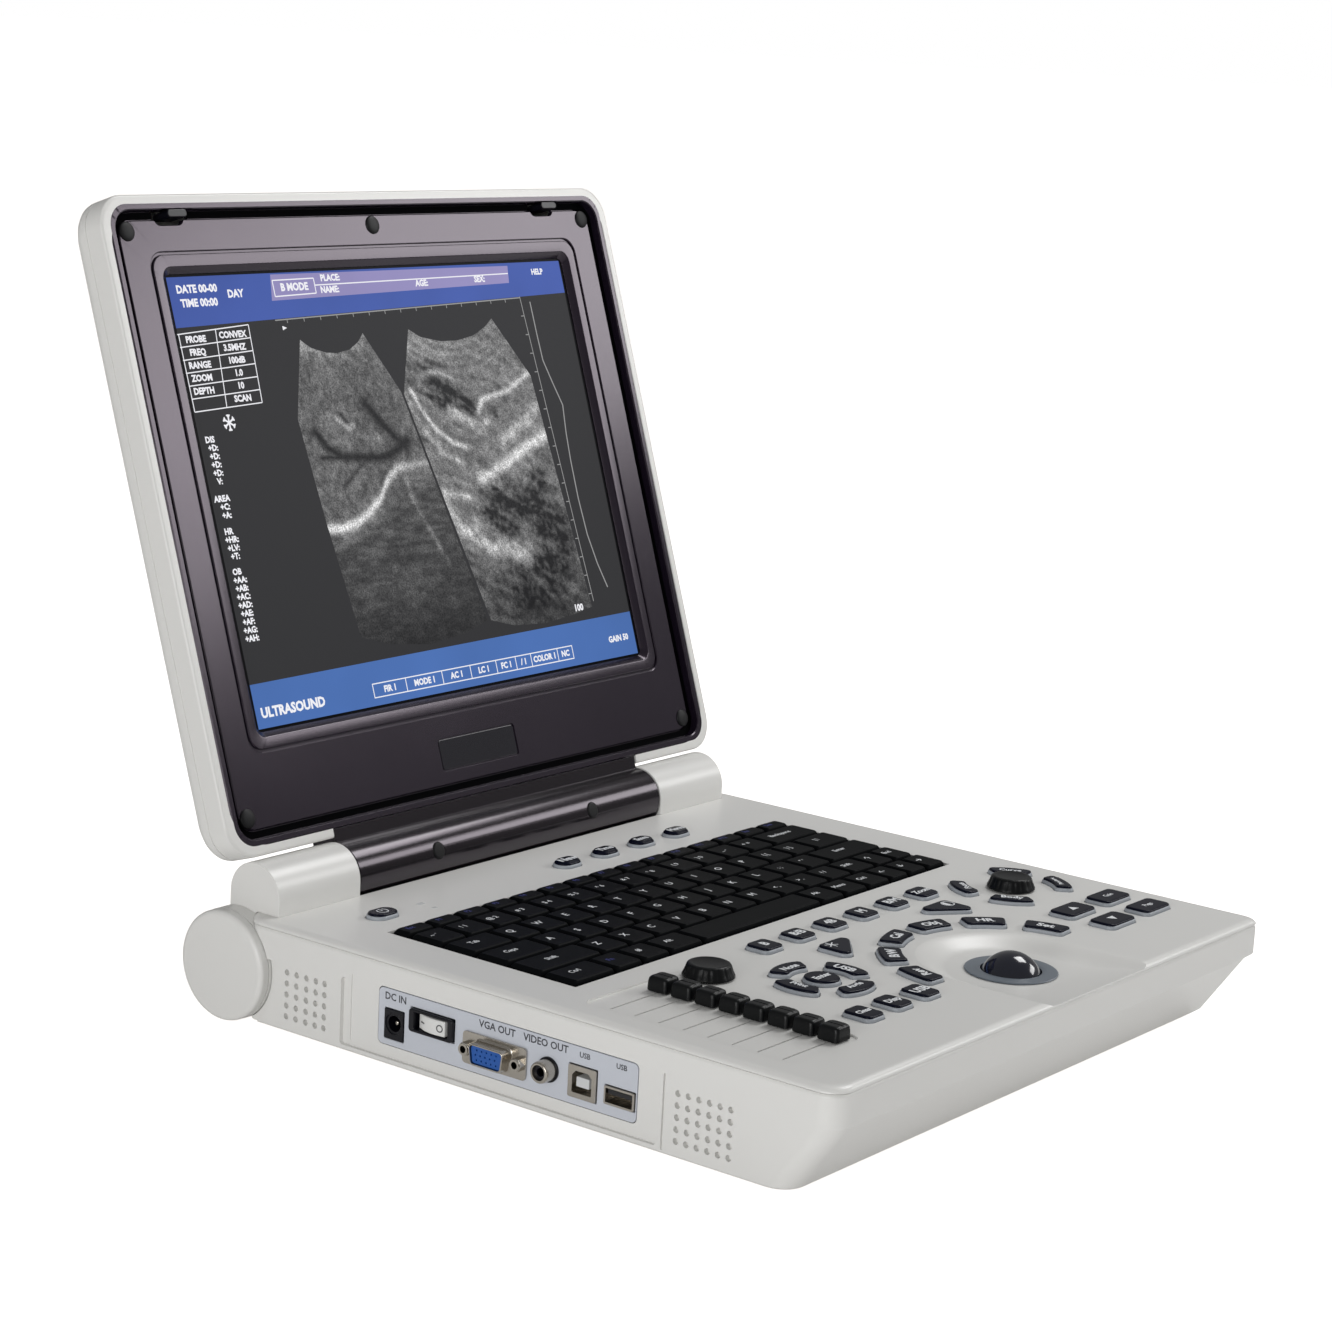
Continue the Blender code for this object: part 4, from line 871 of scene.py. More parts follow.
def make_vga():
    mid, z = middle("vga")
    face = LEFT - 0.1

    def d_shape(half_wide, half_high, slant, corner):
        low, high = z - half_high, z + half_high
        return rounded([(mid - half_wide + slant, low), (mid + half_wide - slant, low), (mid + half_wide, high),
                        (mid - half_wide, high)], corner, 6)

    flange = side_box(*SOCKETS["vga"], face - 0.8, face, 1.5)
    levels = ((3, 0), (-0.6, 0.9), (-1.2, 0.25), (-1.8, 0), (-5.6, 0), (-5.8, -0.2))
    outline = d_shape(8.5, 4.2, 1.0, 1.7)
    shell = loft([[(face + out, a, b) for a, b in grown(outline, margin)] for out, margin in levels])
    inside = side_prism(d_shape(7.95, 3.5, 0.95, 1.3), face - 9, face - 2.0)
    posts = []
    for v in (mid - 12.5, mid + 12.5):
        post = side_prism(circle(v, z, 2.75, 6), face - 3.3, face - 0.4)
        thread = side_prism(circle(v, z, 1.35, 20), face - 9, face - 1.4)
        rim = side_prism(circle(v, z, 2.3, 24), face - 4.0, face - 3.0)
        posts.append(carved(post, [thread], [rim]))
    piece("vga_shell", carved(flange, [inside], [shell]), *METAL, 0.15, 2, 35, ["vga_connector"])
    piece("vga_posts", joined(posts), *METAL, 0.2, 2, 35)
    pins = []
    for height, shift in ((1.9, 0.0), (0.0, 0.6), (-1.9, 0.0)):
        for i in range(-2, 3):
            pins.append(side_prism(circle(mid + i * 2.35 + shift, z + height, 0.42, 8), face - 9, face - 3.6))
    insert = carved(side_prism(d_shape(7.6, 3.3, 0.9, 1.1), face - 5.0, face - 1.9), [joined(pins)])
    piece("vga_insert", insert, CASE, BLUE, "case", "nickel", 0.12, 1, 35)


def make_video_jack():
    front, wall = LEFT - 5.8, LEFT + 0.15
    profile = [(4.15, LEFT + 10), (4.15, front + 1.0), (3.95, front + 0.25), (3.6, front), (3.0, front),
               (2.8, front + 0.3), (2.8, front + 2.2), (1.7, front + 2.2), (1.7, front + 9)]
    piece("video_barrel", turned(profile, VIDEO, 48, "x"), *METAL, 0, 1, 40, ["video_jack"])
    profile = [(2.75, front + 2.1), (2.75, front + 1.2), (1.7, front + 1.2), (1.5, front + 2.1)]
    piece("video_insulator", turned(profile, VIDEO, 40, "x"), *SOCKET_BLACK, 0, 1, 40)
    profile = [(4.85, wall), (4.85, LEFT - 0.4), (4.65, LEFT - 0.6), (4.2, LEFT - 0.6), (4.2, wall)]
    piece("video_collar", turned(profile, VIDEO, 48, "x"), *SOCKET_BLACK, 0, 1, 40)


def make_usb():
    face, floor = LEFT - 0.5, LEFT + 8.8
    mid, z = middle("usb_b")
    outline = [(mid - 4.5, z - 4.1), (mid + 4.5, z - 4.1), (mid + 4.5, z + 2.4), (mid + 2.9, z + 4.1),
               (mid - 2.9, z + 4.1), (mid - 4.5, z + 2.4)]
    hole = side_prism(rounded(outline, 0.35, 3), LEFT - 5, floor)
    shell = carved(side_box(*SOCKETS["usb_b"], face, SOCKET_END, 0.7), [hole])
    piece("usb_b_shell", shell, *METAL, 0.2, 2, 35, ["usb_b_port"])
    tongue = side_box(mid - 3.0, mid + 3.0, z - 1.9, z + 1.9, LEFT + 0.2, LEFT + 8.6, 0.3)
    piece("usb_b_tongue", tongue, CASE, PIPE, "case", "nickel", 0.2, 2, 35)
    mid, z = middle("usb_a")
    hole = side_box(mid - 6.1, mid + 6.1, z - 2.6, z + 2.6, LEFT - 5, floor, 0.3)
    shell = carved(side_box(*SOCKETS["usb_a"], face, SOCKET_END, 0.7), [hole])
    piece("usb_a_shell", shell, *METAL, 0.2, 2, 35, ["usb_a_port"])
    tongue = side_box(mid - 5.6, mid + 5.6, z + 0.3, z + 2.1, LEFT + 0.4, LEFT + 8.6, 0.2)
    piece("usb_a_tongue", tongue, CASE, TONGUE, "case", "satin_black", 0.15, 2, 35)


# ---------------------------------------------------------------- lid


def lid_ring(half, foot, top, corner, y, steps=12):
    return [(x, y, z) for x, z in rect(-half, half, foot, top, corner, steps)]


def lid_prism(outline, y0, y1):
    """A prism of an (x, z) outline between two depths."""
    return loft([[(x, y, z) for x, z in outline] for y in (y0, y1)])


def inset_ring(inset, y, corner):
    return lid_ring(152.4 - inset, BEZEL_FOOT + inset, 277.4 - inset, corner, y)


def make_lid_shell():
    back = RIM_Y + 20.0
    half, foot, top, corner = 157.0, 14.9, 280.9, 13.5
    lip, reach = 1.2, 9.0

    def outer(inset, y):
        return lid_ring(half - inset, foot + inset, top - inset, corner + inset, y)

    rings = [lid_ring(152.7, 18.5, 277.7, 10.2, y) for y in (back - 2.6, RIM_Y + 0.35)]
    rings += [outer(3.9, RIM_Y + 0.05), outer(lip, RIM_Y)]
    rings += [outer(lip * (1 - math.sin(t)), RIM_Y + lip * (1 - math.cos(t))) for t in (0.5, 1.0, 1.571)]
    rings += [outer(inset, RIM_Y + y) for inset, y in ((0, 9.0), (0.35, 9.1), (0.35, 9.5), (0, 9.6))]
    for turn in [math.pi / 2 * i / 8 for i in range(9)]:
        rings.append(outer(reach * (1 - math.cos(turn)), back - reach * 0.9 * (1 - math.sin(turn))))
    notch = box(-99.2, 99.2, RIM_Y - 5, RIM_Y + 14.6, 8.0, 20.0)
    piece("lid_back", carved(loft(rings), [notch]), LID, WHITE, "lid", "case_white", 0.25, 2, 32,
          ["lid_shell"], 40)


def latch_notches():
    """The openings for the two latches, through the bezel's top groove."""
    cuts = []
    for side, _ in SIDES:
        x = side * LATCH_X
        travel_end = x + (9.6 if side < 0 else 7.0)
        outline = rect(x - 10.0, x + 6.4, 268.5, 274.6, (3.4, 3.4, 0.9, 0.9), 5)
        cuts.append(lid_prism(outline, RIM_Y - 3, RIM_Y + 9))
        cuts.append(box(x - 7.0, travel_end, RIM_Y - 3, RIM_Y + 9, 270.7, 274.8))
    return cuts


def make_bezel():
    main, low, floor = RIM_Y + 3.0, RIM_Y + 5.7, RIM_Y + 4.4
    # The rim and the groove behind it: each row has the inset, the depth and the corner's radius.
    profile = ((0.0, low, 10.0), (0.0, RIM_Y + 0.4, 10.0), (0.4, RIM_Y, 9.8), (2.4, RIM_Y, 9.0),
               (2.8, RIM_Y + 0.4, 8.8), (2.9, floor, 8.8), (6.2, floor, 8.4), (6.35, main + 0.4, 8.4),
               (6.8, main, 8.2))
    rings = [inset_ring(*row) for row in profile]
    # The fine groove round the screen, then the window's sloping edge.
    for grow, depth, corner in ((0.9, 0.0, 7.4), (0.55, 0.3, 7.2), (0.5, 0.9, 7.1), (-0.5, 0.9, 6.4),
                                (-0.55, 0.3, 6.3), (-0.9, 0.0, 6.2)):
        rings.append(lid_ring(132.0 + grow, 55.4 - grow, 257.5 + grow, corner, main + depth))
    for grow, corner, y in ((0.9, 5.2, main), (0.2, 4.8, main + 0.35), (-1.9, 3.4, LCD_Y - 0.35),
                            (-1.9, 3.4, LCD_Y - 0.05), (4.0, 3.4, LCD_Y - 0.05), (4.0, 3.4, low)):
        rings.append(lid_ring(126.4 + grow, 60.9 - grow, 251.3 + grow, corner, y))
    badge = lid_prism(rect(-24.9, 24.9, 30.8, 45.1, 1.6, 5), main - 3, main + 0.55)
    shape = carved(loft(rings, ring=True), latch_notches() + [badge])
    piece("bezel", shape, LID, BEZEL, "lid", "satin_black", 0.2, 2, 32, ["lid_bezel"], 40)
    # A matte black strip laid on the groove's floor behind the rim: painted shade that darkens the groove.
    corners = ((3.1, 4.6), (3.1, 4.0), (5.9, 4.0), (5.9, 4.6))
    shade_strip = [inset_ring(inset, RIM_Y + depth, 8.6) for inset, depth in corners]
    piece("groove_painted_shade", carved(loft(shade_strip, ring=True), latch_notches()), LID, PLATE_AND_GROOVE_SHADE, "lid", "rubber_black", 0, 1, 40)
    blank = rect(-24.2, 24.2, 31.5, 44.4, 1.3, 5)
    rows = [[(x, main + y, z) for x, z in grown(blank, g)] for y, g in ((0.9, 0), (0.3, 0), (0.15, -0.3))]
    piece("badge_blank", loft(rows), LID, BADGE, "lid", "satin_black", 0, 1, 60)
    low_z, high_z = BEZEL_FOOT + 11.5, BEZEL_FOOT + 247.9
    spots = [(side * 141.6, z) for side, _ in SIDES for z in (low_z, high_z)] + [(0.0, high_z)]
    dome = [(4.0, 0.6), (4.0, -0.2), (3.7, -0.6), (3.0, -0.85), (1.8, -1.0), (0.1, -1.05)]
    bumps = [turned([(r, main + y) for r, y in dome], spot, 36, "y") for spot in spots]
    piece("bumpers", joined(bumps), *LID_RUBBER, 0, 1, 50)


def make_latches():
    ys = (RIM_Y + 8, RIM_Y - 0.3, RIM_Y - 0.65, RIM_Y - 0.8)
    for side, name in SIDES:
        x = side * LATCH_X
        outline = rect(x - 5.3, x + 5.3, 271.2, 274.4, 1.5, 5)
        rings = [[(a, y, b) for a, b in grown(outline, g)] for y, g in zip(ys, (0, 0, -0.15, -0.5))]
        piece("hook_" + name, loft(rings), LID, PANEL_BLACK, "latch_" + name, "satin_black", 0, 1, 40,
              ["latch_" + name])


def make_hinge():
    half, cap_x = 98.3, 50.8
    tube = side_prism(circle(0, 0, 13.2, 96), -half, half)
    neck = box(-half, half, RIM_Y + 0.6, RIM_Y + 14.0, 6.0, BEZEL_FOOT - 0.3)
    shaft = side_prism(circle(0, 0, 5.0, 32), -114, 114)
    seats = [turned([(3.7, -20), (3.7, -12.2)], (side * cap_x, 0), 40, "y") for side, _ in SIDES]
    shape = carved(tube, [joined(seats)], [neck, shaft])
    piece("hinge_tube", shape, LID, HINGE_BLACK, "lid", "satin_black", 0.35, 2, 32, ["hinge_barrel"], 40)
    profile = [(3.45, -11.0), (3.45, -13.2), (3.2, -13.45), (2.6, -13.55), (0.1, -13.6)]
    caps = [turned(profile, (side * cap_x, 0), 36, "y") for side, _ in SIDES]
    piece("hinge_screw_caps", joined(caps), *LID_RUBBER, 0, 1, 45)


# ---------------------------------------------------------------- display picture


def on_screen(outline, lift):
    """A flat face on the display, from (x, u) points, lifted off the glass by a few hundredths."""
    shape = bmesh.new()
    shape.faces.new([shape.verts.new((x, LCD_Y - lift, u + BEZEL_FOOT)) for x, u in outline])
    return shape


def stroke(points, width, lift):
    """A line of constant width through (x, u) points."""
    shapes = []
    for (x0, u0), (x1, u1) in zip(points, points[1:]):
        run = Vector((x1 - x0, u1 - u0))
        side = Vector((-run.y, run.x)).normalized() * width / 2
        a, b = Vector((x0, u0)), Vector((x1, u1))
        shapes.append(on_screen([tuple(a - side), tuple(b - side), tuple(b + side), tuple(a + side)], lift))
    return shapes


def shown(name, shapes, material):
    piece(name, joined(shapes), *on_glass(material), weighted=False)


def value_noise(x, u, size, seed):
    """Smooth random values, 0 to 1, that change over about the given size in mm."""
    table = np.random.default_rng(seed).random((256, 256))
    gx, gu = x / size + 100, u / size + 100
    ix, iu = np.floor(gx).astype(int), np.floor(gu).astype(int)
    fx, fu = gx - ix, gu - iu
    fx, fu = fx * fx * (3 - 2 * fx), fu * fu * (3 - 2 * fu)

    def at(a, b):
        return table[a % 256, b % 256]

    low = at(ix, iu) * (1 - fx) + at(ix + 1, iu) * fx
    high = at(ix, iu + 1) * (1 - fx) + at(ix + 1, iu + 1) * fx
    return low * (1 - fu) + high * fu


def speckle(x, u, sizes, stretch, seed):
    """Fine, medium and coarse grain together. The coarse one is stretched across."""
    fine = value_noise(x, u, sizes[0], seed)
    medium = value_noise(x, u, sizes[1], seed + 1)
    coarse = value_noise(x, u * stretch, sizes[2], seed + 2)
    return fine * 0.5 + medium * 0.3 + coarse * 0.2


def near(x, u, points, width):
    """1 on a line through the points and 0 away from it."""
    best = np.full(x.shape, 1e9)
    for (x0, u0), (x1, u1) in zip(points, points[1:]):
        dx, du = x1 - x0, u1 - u0
        t = np.clip(((x - x0) * dx + (u - u0) * du) / (dx * dx + du * du), 0, 1)
        best = np.minimum(best, (x - x0 - t * dx) ** 2 + (u - u0 - t * du) ** 2)
    return np.exp(-best / (width * width))


def blob(x, u, cx, cu, wide, high, turn=0.0):
    c, s = math.cos(math.radians(turn)), math.sin(math.radians(turn))
    a = ((x - cx) * c + (u - cu) * s) / wide
    b = (-(x - cx) * s + (u - cu) * c) / high
    return np.exp(-(a * a + b * b) ** 1.6)


def left_tissue(x, u):
    """Even tissue with a branching vessel above a bright wall, and shadow below it."""
    grain = speckle(x, u, (1.5, 3.8, 9.0), 1.6, 1)
    wall_x = [-62, -52, -42, -34, -26, -19, -12, -4, 8]
    wall = np.interp(x, wall_x, [121, 120.5, 122.5, 126, 131, 139, 143, 143.5, 144])
    above = 1 / (1 + np.exp(-(u - wall) / 1.2))
    streaks = value_noise(x * 0.35, u * 1.5, 2.2, 4)
    light = 0.012 + (0.03 + 0.20 * grain ** 1.6) * above
    light += (1 - above) * (0.012 + 0.10 * streaks ** 2 * np.exp(-(wall - u) / 70) + 0.05 * grain ** 2)
    light += 0.10 * np.exp(-((u - 196 - 0.012 * (x + 36) ** 2) / 5.0) ** 2) * grain * 2
    wall_light = np.interp(x, [-62, -50, -20, -8, 5], [1, 0.9, 0.9, 0.5, 0.25])
    light += 0.62 * np.exp(-((u - wall) / (1.5 + 0.7 * grain)) ** 2) * wall_light
    light += 0.16 * np.exp(-(np.maximum(wall - u, 0) / 7) ** 2) * (1 - above) * grain
    # Each vessel: how dark, its half width, and its course.
    branches = (
        (1.0, 2.5, [(-57, 162), (-51, 154.5), (-44, 150.5), (-30, 149), (-18, 148.5), (-8, 151.5), (-3, 154)]),
        (1.0, 1.3, [(-56, 151), (-44, 150), (-34, 149)]),
        (1.0, 2.9, [(-24, 172), (-16, 163), (-8, 155), (-4, 152)]),
        (0.8, 1.0, [(-46, 138), (-38, 143), (-30, 148)]),
        (0.9, 1.3, [(-40, 168.5), (-37.5, 165)]),
    )
    vessels = np.zeros(x.shape)
    for dark, width, points in branches:
        vessels = np.maximum(vessels, near(x, u, points, width) * dark)
    light += 0.22 * near(x, u, [(-43, 167), (-36, 161.5), (-33.5, 163.5)], 1.1)
    light += 0.12 * near(x, u, [(-34, 160), (-20, 157), (-10, 160)], 2.0) * grain
    light = light * (1 - 0.93 * vessels) + 0.008
    light += 0.16 * near(x, u, [(-8, 138), (-6, 128), (2, 112), (8, 100)], 1.4) * grain
    light += 0.05 * blob(x, u, -20, 92, 22, 10) * grain
    return light * np.interp(u, [66, 80, 120, 210], [0.35, 0.6, 1, 1])


def right_tissue(x, u):
    """Layered tissue with dark hollows between bright echoes."""
    grain = speckle(x, u, (1.4, 3.4, 8.0), 1.4, 11)
    slope = (u - 160) + 0.45 * (x - 45)
    streak = value_noise(x * 0.5, slope * 1.6, 4.0, 14)
    light = 0.03 + 0.24 * grain ** 1.6 + 0.08 * streak ** 1.5 + 0.05 * streak
    arc = u - 0.010 * (x - 41) ** 2
    for level in (194, 190, 186, 182):
        light += 0.06 * np.exp(-((arc - level) / 1.0) ** 2)
    # Each hollow: how dark, then its centre, half sizes and turn.
    hollows = ((0.16, 27.5, 172.5, 13, 6.5, -18), (0.10, 43, 166.5, 7, 4, -25), (0.09, 20, 186, 12, 3, 4),
               (0.14, 52, 120, 17, 12, 20), (0.14, 80, 112, 12, 22, 10), (0.10, 60, 84, 26, 14, 0))
    for dark, *place in hollows:
        light -= dark * blob(x, u, *place)
    light += 0.42 * near(x, u, [(47, 164), (51, 169), (60, 170.5), (70, 172), (78, 176), (86, 179)], 1.3)
    # Each echo: how bright, its half width, the light it keeps where the grain is dark, and its course.
    echoes = (
        (0.34, 0.8, 0, [(12, 178), (17, 184), (26, 182.5), (38, 178)]),
        (0.42, 1.1, 0.5, [(6, 176), (10, 168), (17, 158), (27, 151), (34, 149)]),
        (0.30, 1.6, 0, [(4, 170), (9, 160), (18, 148), (30, 142)]),
        (0.52, 2.4, 0, [(29, 166), (38, 161), (45, 157), (50, 158)]),
        (0.55, 2.6, 0.35, [(40, 134), (50, 137.5), (62, 141), (74, 146), (88, 150)]),
        (0.476, 2.6, 0, [(60, 150), (74, 156), (86, 163)]),
        (0.476, 1.5, 0, [(12, 132), (22, 128), (30, 127)]),
        (0.46, 3.2, 0.2, [(12, 126), (20, 114), (32, 106), (46, 101), (60, 98)]),
        (0.26, 6.0, 0, [(28, 112), (44, 103), (58, 101)]),
        (0.20, 2.4, 0, [(26, 84), (29, 78)]),
    )
    for bright, width, least, points in echoes:
        light += bright * near(x, u, points, width) * (least + grain)
    return np.clip(light, 0.015, 1) * np.interp(u, [66, 78, 104, 130, 210], [0.30, 0.45, 0.75, 1, 1])


def fan(name, top_points, left_points, right_points, bottom_points, tissue, columns=96, rows=150):
    """A fan-shaped scan: a grid between four edges, with the tissue's brightness on its points."""
    s = np.linspace(0, 1, columns)
    t = np.linspace(0, 1, rows)
    tops = np.interp(s, *zip(*top_points))
    bottoms = np.interp(s, *zip(*bottom_points))
    us = tops[None, :] + (bottoms - tops)[None, :] * t[:, None]
    lefts = np.interp(-us, [-u for u, _ in left_points], [x for _, x in left_points])
    rights = np.interp(-us, [-u for u, _ in right_points], [x for _, x in right_points])
    xs = lefts + (rights - lefts) * s[None, :]
    shape = bmesh.new()
    grid = []
    for row_x, row_u in zip(xs, us):
        grid.append([shape.verts.new((x, LCD_Y - 0.05, u + BEZEL_FOOT)) for x, u in zip(row_x, row_u)])
    for upper, lower in zip(grid, grid[1:]):
        for i in range(columns - 1):
            shape.faces.new((upper[i], lower[i], lower[i + 1], upper[i + 1]))
    item = piece(name, shape, *on_glass(FAN), weighted=False)
    colours = item.data.color_attributes.new("light", "FLOAT_COLOR", "POINT")
    values = np.ones((rows * columns, 4))
    values[:, :3] = np.clip(tissue(xs, us), 0, 1).reshape(-1, 1)
    colours.data.foreach_set("color", values.ravel())


def make_screen():
    corners = rect(-130.4, 130.4, 56.9, 255.3, 1.0, 3)
    surface = plastic("display_frame", (0.002, 0.002, 0.003), 0.32, 0.0, Specular_IOR_Level=0.03)
    piece("display_panel", lid_prism(corners, LCD_Y, LCD_Y + 6), *on_glass(surface), stands_for=["lcd_panel"])
    half, low, high = 122.9, 45.2, 229.5
    piece("display_field", on_screen(rect(-half, half, low, high), 0.02), *on_glass(DARK))
    upper = [(-half, 208.9), (half, 214.6), (half, high), (-half, high)]
    lower = [(-half, low), (half, low), (half, 64.8), (-half, 63.4)]
    bar = [(-66.4, 217.9), (85.2, 220.4), (86.4, 228.2), (-64.4, 228.9)]
    shown("display_band_top", [on_screen(upper, 0.04)], BAND)
    shown("display_band_low", [on_screen(lower, 0.04)], BAND_LOW)
    shown("display_bar", [on_screen(bar, 0.06)], LILAC)


def make_scans():
    left = [(0, 201.0), (0.16, 197.2), (0.36, 194.8), (0.5, 194.3), (0.68, 195.4), (0.86, 198.6), (1, 202.0)]
    right = [(0, 202.4), (0.14, 198.6), (0.34, 196.2), (0.5, 196.0), (0.68, 197.6), (0.86, 201.2), (1, 204.8)]
    fan("scan_left", left, [(202, -54.5), (168, -65.5), (124, -61.2), (60, -52.7)],
        [(202, -16.5), (175.5, 0.0), (60, 28.6)], [(0, 74.5), (0.2, 69.5), (0.5, 66.5), (0.8, 68.5), (1, 72.5)],
        left_tissue)
    fan("scan_right", right, [(204, 13.0), (174.5, 1.4), (60, 30.4)],
        [(205, 68.0), (177.8, 87.0), (60, 98.0)], [(0, 72.0), (0.2, 68.0), (0.5, 66.5), (0.8, 68.0), (1, 70.0)],
        right_tissue)


def make_scales():
    left, top, right = -66.9, 209.7, 90.5
    side_lean, top_lean = 0.0594, 0.0235
    lines = stroke([(left, top), (right, 213.4)], 0.5, 0.07)
    lines += stroke([(right, 213.9), (98.9, 72.4)], 0.45, 0.08)
    for u in [205.0 - 8.6 * i for i in range(16)]:
        x = right + (213.9 - u) * side_lean
        lines += stroke([(x - 2.2, u), (x, u)], 0.4, 0.09)
    for x in range(-60, 90, 10):
        u = top + (x - left) * top_lean
        lines += stroke([(x, u), (x, u - 1.6)], 0.4, 0.09)
    curve = [(96.9, 211.3), (97.2, 196), (97.7, 184.2), (101.5, 173), (105.2, 163.0), (103.6, 150), (102.9, 137.4),
             (102.8, 120), (104.0, 102.9), (107.0, 89), (110.8, 77.6)]
    shown("display_scales", lines + stroke(curve, 0.7, 0.08), FAINT)


def make_tables():
    """The tables' lines, the boxes on the bars, and the frozen picture's star."""
    thin = 0.45
    grid = []
    for share in [i / 6 for i in range(7)]:
        ends = [(-123.1 + 0.9 * share, 206.3 - 31.6 * share), (-82.8 - 1.1 * share, 208.6 - 32.4 * share)]
        grid += stroke(ends, thin, 0.07)
    for ends in ([(-122.4, 206.3), (-122.2, 174.7)], [(-101.7, 207.8), (-104.2, 175.4)],
                 [(-82.8, 208.6), (-83.9, 176.2)]):
        grid += stroke(ends, thin, 0.08)
    grid += stroke([(-64.0, 219.6), (-39.5, 220.2), (-39.5, 226.6), (-64.0, 226.4), (-64.0, 219.6)], 0.5, 0.08)
    grid += stroke([(-39.5, 223.6), (85.6, 224.7)], 0.5, 0.08)
    for share in (0, 0.155, 0.33, 0.47, 0.60, 0.70, 0.78, 0.92, 1.0):
        x = STRIP_LEFT + STRIP_LENGTH * share
        grid += stroke([(x, 48.6), (x, 54.4)], thin, 0.08)
    for u in (54.4, 48.6):
        grid += stroke([(-54.0, u), (77.6, u)], thin, 0.07)
    hub = Vector((-104.6, 169.2))
    for i in range(3):
        turn = math.radians(90 + 60 * i)
        arm = Vector((math.cos(turn), math.sin(turn)))
        grid += stroke([tuple(hub - arm * 3.4), tuple(hub + arm * 3.4)], 0.8, 0.07 + 0.01 * i)
        for sign in (-1, 1):
            tip = hub + arm * 2.2 * sign
            for lean in (-0.7, 0.7):
                ray = arm.copy()
                ray.rotate(Matrix.Rotation(lean, 2))
                grid += stroke([tuple(tip), tuple(tip + ray * 1.4 * sign)], 0.6, 0.10)
    shown("display_grid", grid, WORDS)


def make_words():
    # Each text: the words, the middle's x and u, and the size.
    texts = [("DATE 00-00", -107.5, 224.3, 4.4), ("TIME 00:00", -107.5, 218.6, 4.4), ("DAY", -86.5, 221.6, 4.4),
             ("B MODE", -51.8, 223.2, 4.4), ("PLACE:", -29.5, 226.4, 3.8), ("NAME:", -31.0, 221.4, 3.8),
             ("AGE:", 27.0, 222.2, 3.8), ("SEX:", 65.5, 222.7, 3.8), ("HELP", 106.0, 224.8, 3.6)]
    cells = (("PROBE", "CONVEX"), ("FREQ", "3.5MHZ"), ("RANGE", "100dB"), ("ZOOM", "1.0"), ("DEPTH", "10"),
             ("", "SCAN"))
    for i, (key, value) in enumerate(cells):
        u = 204.2 - 5.27 * i
        if key:
            texts.append((key, -113.6 - 0.3 * i, u - 0.3, 3.7))
        texts.append((value, -92.8 - 0.3 * i, u + 0.7, 3.7))
    blocks = ((163.0, ("DIS", "+D:", "+D:", "+D:", "+D:", "V:")), (138.9, ("AREA", "+C:", "+A:")),
              (125.5, ("HR", "+HR:", "+LV:", "+T:")),
              (109.0, ("OB", "+AA:", "+AB:", "+AC:", "+AD:", "+AE:", "+AF:", "+AG:", "+AH:")))
    for start, rows in blocks:
        for i, text in enumerate(rows):
            texts.append((text, -117.2 + (0.9 if i else 0), start - 3.42 * i, 3.5))
    texts += [("ULTRASOUND", -101.5, 51.2, 5.6), ("GAIN 50", 111.0, 53.6, 3.8), ("100", 87.6, 70.6, 4.2)]
    for text, share in (("FIR 1", 0.078), ("MODE 1", 0.243), ("AC 1", 0.40), ("LC 1", 0.535), ("FC 1", 0.65),
                        ("/ 1", 0.74), ("COLOR 1", 0.85), ("NC", 0.96)):
        texts.append((text, STRIP_LEFT + STRIP_LENGTH * share, 51.4, 3.7))
    sheet = LID @ Matrix.Translation((0, LCD_Y, BEZEL_FOOT)) @ Matrix.Rotation(math.pi / 2, 4, "X")
    words = [(text, x, u, 0.12, size, 0) for text, x, u, size in texts]
    lettering("display_text", words, sheet, WORDS, "lid", "screen_glass", 0.045)
    shown("display_marker", [on_screen([(-63.5, 205.4), (-61.0, 206.3), (-63.5, 207.2)], 0.09)], WORDS)


# ---------------------------------------------------------------- stage


def area_light(name, where, target, size, power):
    data = bpy.data.lights.new(name, "AREA")
    data.shape = "RECTANGLE"
    data.size, data.size_y = size
    data.energy = power
    item = bpy.data.objects.new(name, data)
    item.location = where
    item.rotation_euler = (Vector(target) - Vector(where)).to_track_quat("-Z", "Y").to_euler()
    bpy.context.scene.collection.objects.link(item)


def seen_and_cast(tree, socket, cast, seen):
    """Feeds a strength that is one value where it lights the object and another where the camera sees it."""
    sight = tree.nodes.new("ShaderNodeLightPath")
    power = tree.nodes.new("ShaderNodeMapRange")
    feed(power, To_Min=cast, To_Max=seen)
    tree.links.new(sight.outputs["Is Camera Ray"], power.inputs["Value"])
    tree.links.new(power.outputs["Result"], socket)


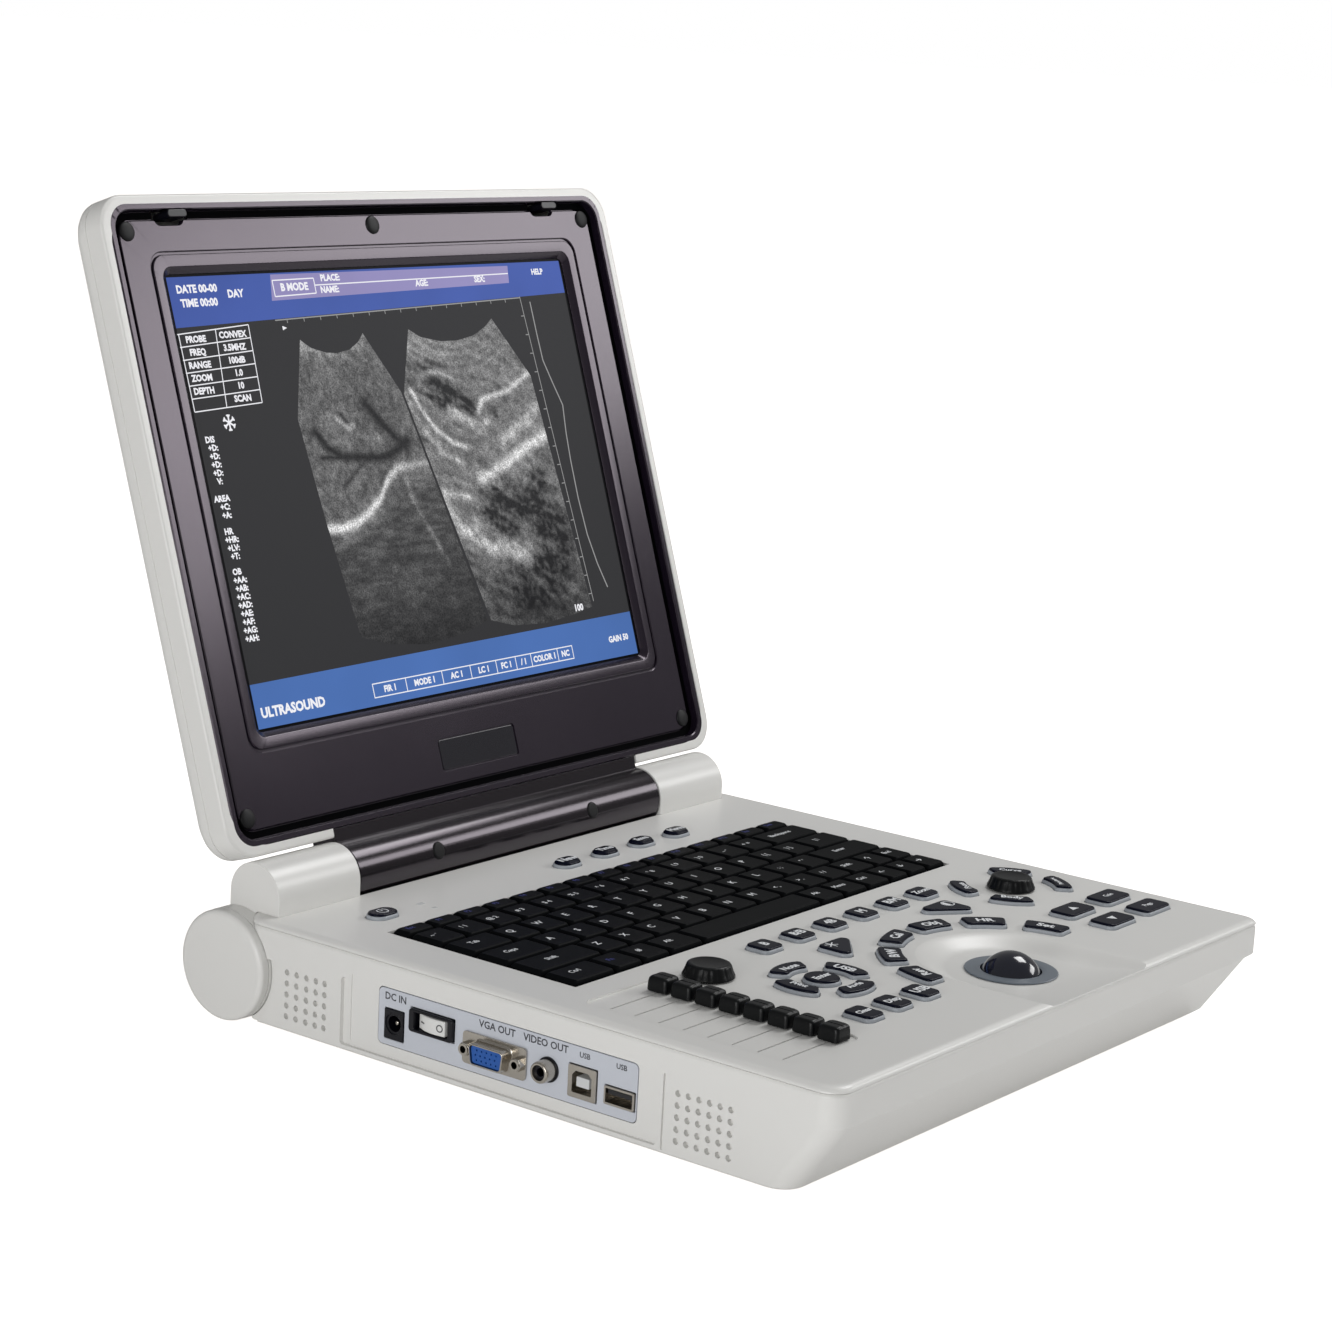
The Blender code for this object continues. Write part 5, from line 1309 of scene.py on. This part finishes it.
def make_stage():
    floor = bmesh.new()
    bmesh.ops.create_grid(floor, x_segments=1, y_segments=1, size=40)
    item = plain_object("studio_floor", floor)
    paper, _, _, shader = blank_material("studio_paper")
    feed(shader, Base_Color=(0.80, 0.80, 0.80, 1), Roughness=0.9, Specular_IOR_Level=0.1,
         Emission_Color=(1.0, 0.965, 0.93, 1))
    seen_and_cast(paper.node_tree, shader.inputs["Emission Strength"], 0.10, 0.90)
    item.data.materials.append(paper)
    world = bpy.data.worlds.new("studio")
    bpy.context.scene.world = world
    world.use_nodes = True
    back = world.node_tree.nodes["Background"]
    feed(back, Color=(1, 1, 1, 1))
    seen_and_cast(world.node_tree, back.inputs["Strength"], 0.25, 1.0)
    area_light("softbox_left", (-1.7, -0.55, 0.40), (0, 0, 0.1), (1.2, 0.7), 13.6)
    area_light("strip_right", (1.58, -1.14, 1.0), (0, 0.09, 0.2), (1.1, 0.5), 10.5)
    area_light("softbox_top", (0.9, -0.2, 1.3), (0, 0, 0.1), (0.6, 0.6), 9)


def make_camera():
    azimuth, elevation, roll = (math.radians(a) for a in (-52.4, 12.52, 2.93))
    flat_reach = math.cos(elevation)
    back = Vector((math.sin(azimuth) * flat_reach, -math.cos(azimuth) * flat_reach, math.sin(elevation)))
    right = Vector((0, 0, 1)).cross(back).normalized()
    up = back.cross(right)
    rolled_right = right * math.cos(roll) + up * math.sin(roll)
    rolled_up = up * math.cos(roll) - right * math.sin(roll)
    data = bpy.data.cameras.new("camera")
    data.sensor_width = 36.0
    data.lens = 83.80
    data.shift_x = 0.0225
    data.shift_y = 0.0361
    data.clip_start = 0.05
    item = bpy.data.objects.new("camera", data)
    turn = Matrix((rolled_right, rolled_up, back)).transposed().to_4x4()
    item.matrix_world = Matrix.Translation((-0.9889, -0.7429, 0.3937)) @ turn
    bpy.context.scene.collection.objects.link(item)
    bpy.context.scene.camera = item


make_tray()
make_deck()
make_barrel()
make_hinge_covers()
make_keyboard()
make_buttons()
make_symbols()
make_knobs()
make_trackball()
make_sliders()
make_port_plate()
make_power_jack()
make_switch()
make_vga()
make_video_jack()
make_usb()
make_lid_shell()
make_bezel()
make_latches()
make_hinge()
make_screen()
make_scans()
make_scales()
make_tables()
make_words()
for node, look in (("foot_front", RUBBER), ("foot_rear", RUBBER), ("main_board", BOARD), ("battery_pack", WRAP)):
    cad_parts[node].data.materials.clear()
    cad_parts[node].data.materials.append(look)
make_stage()
make_camera()
bpy.context.scene.view_settings.view_transform = "Standard"
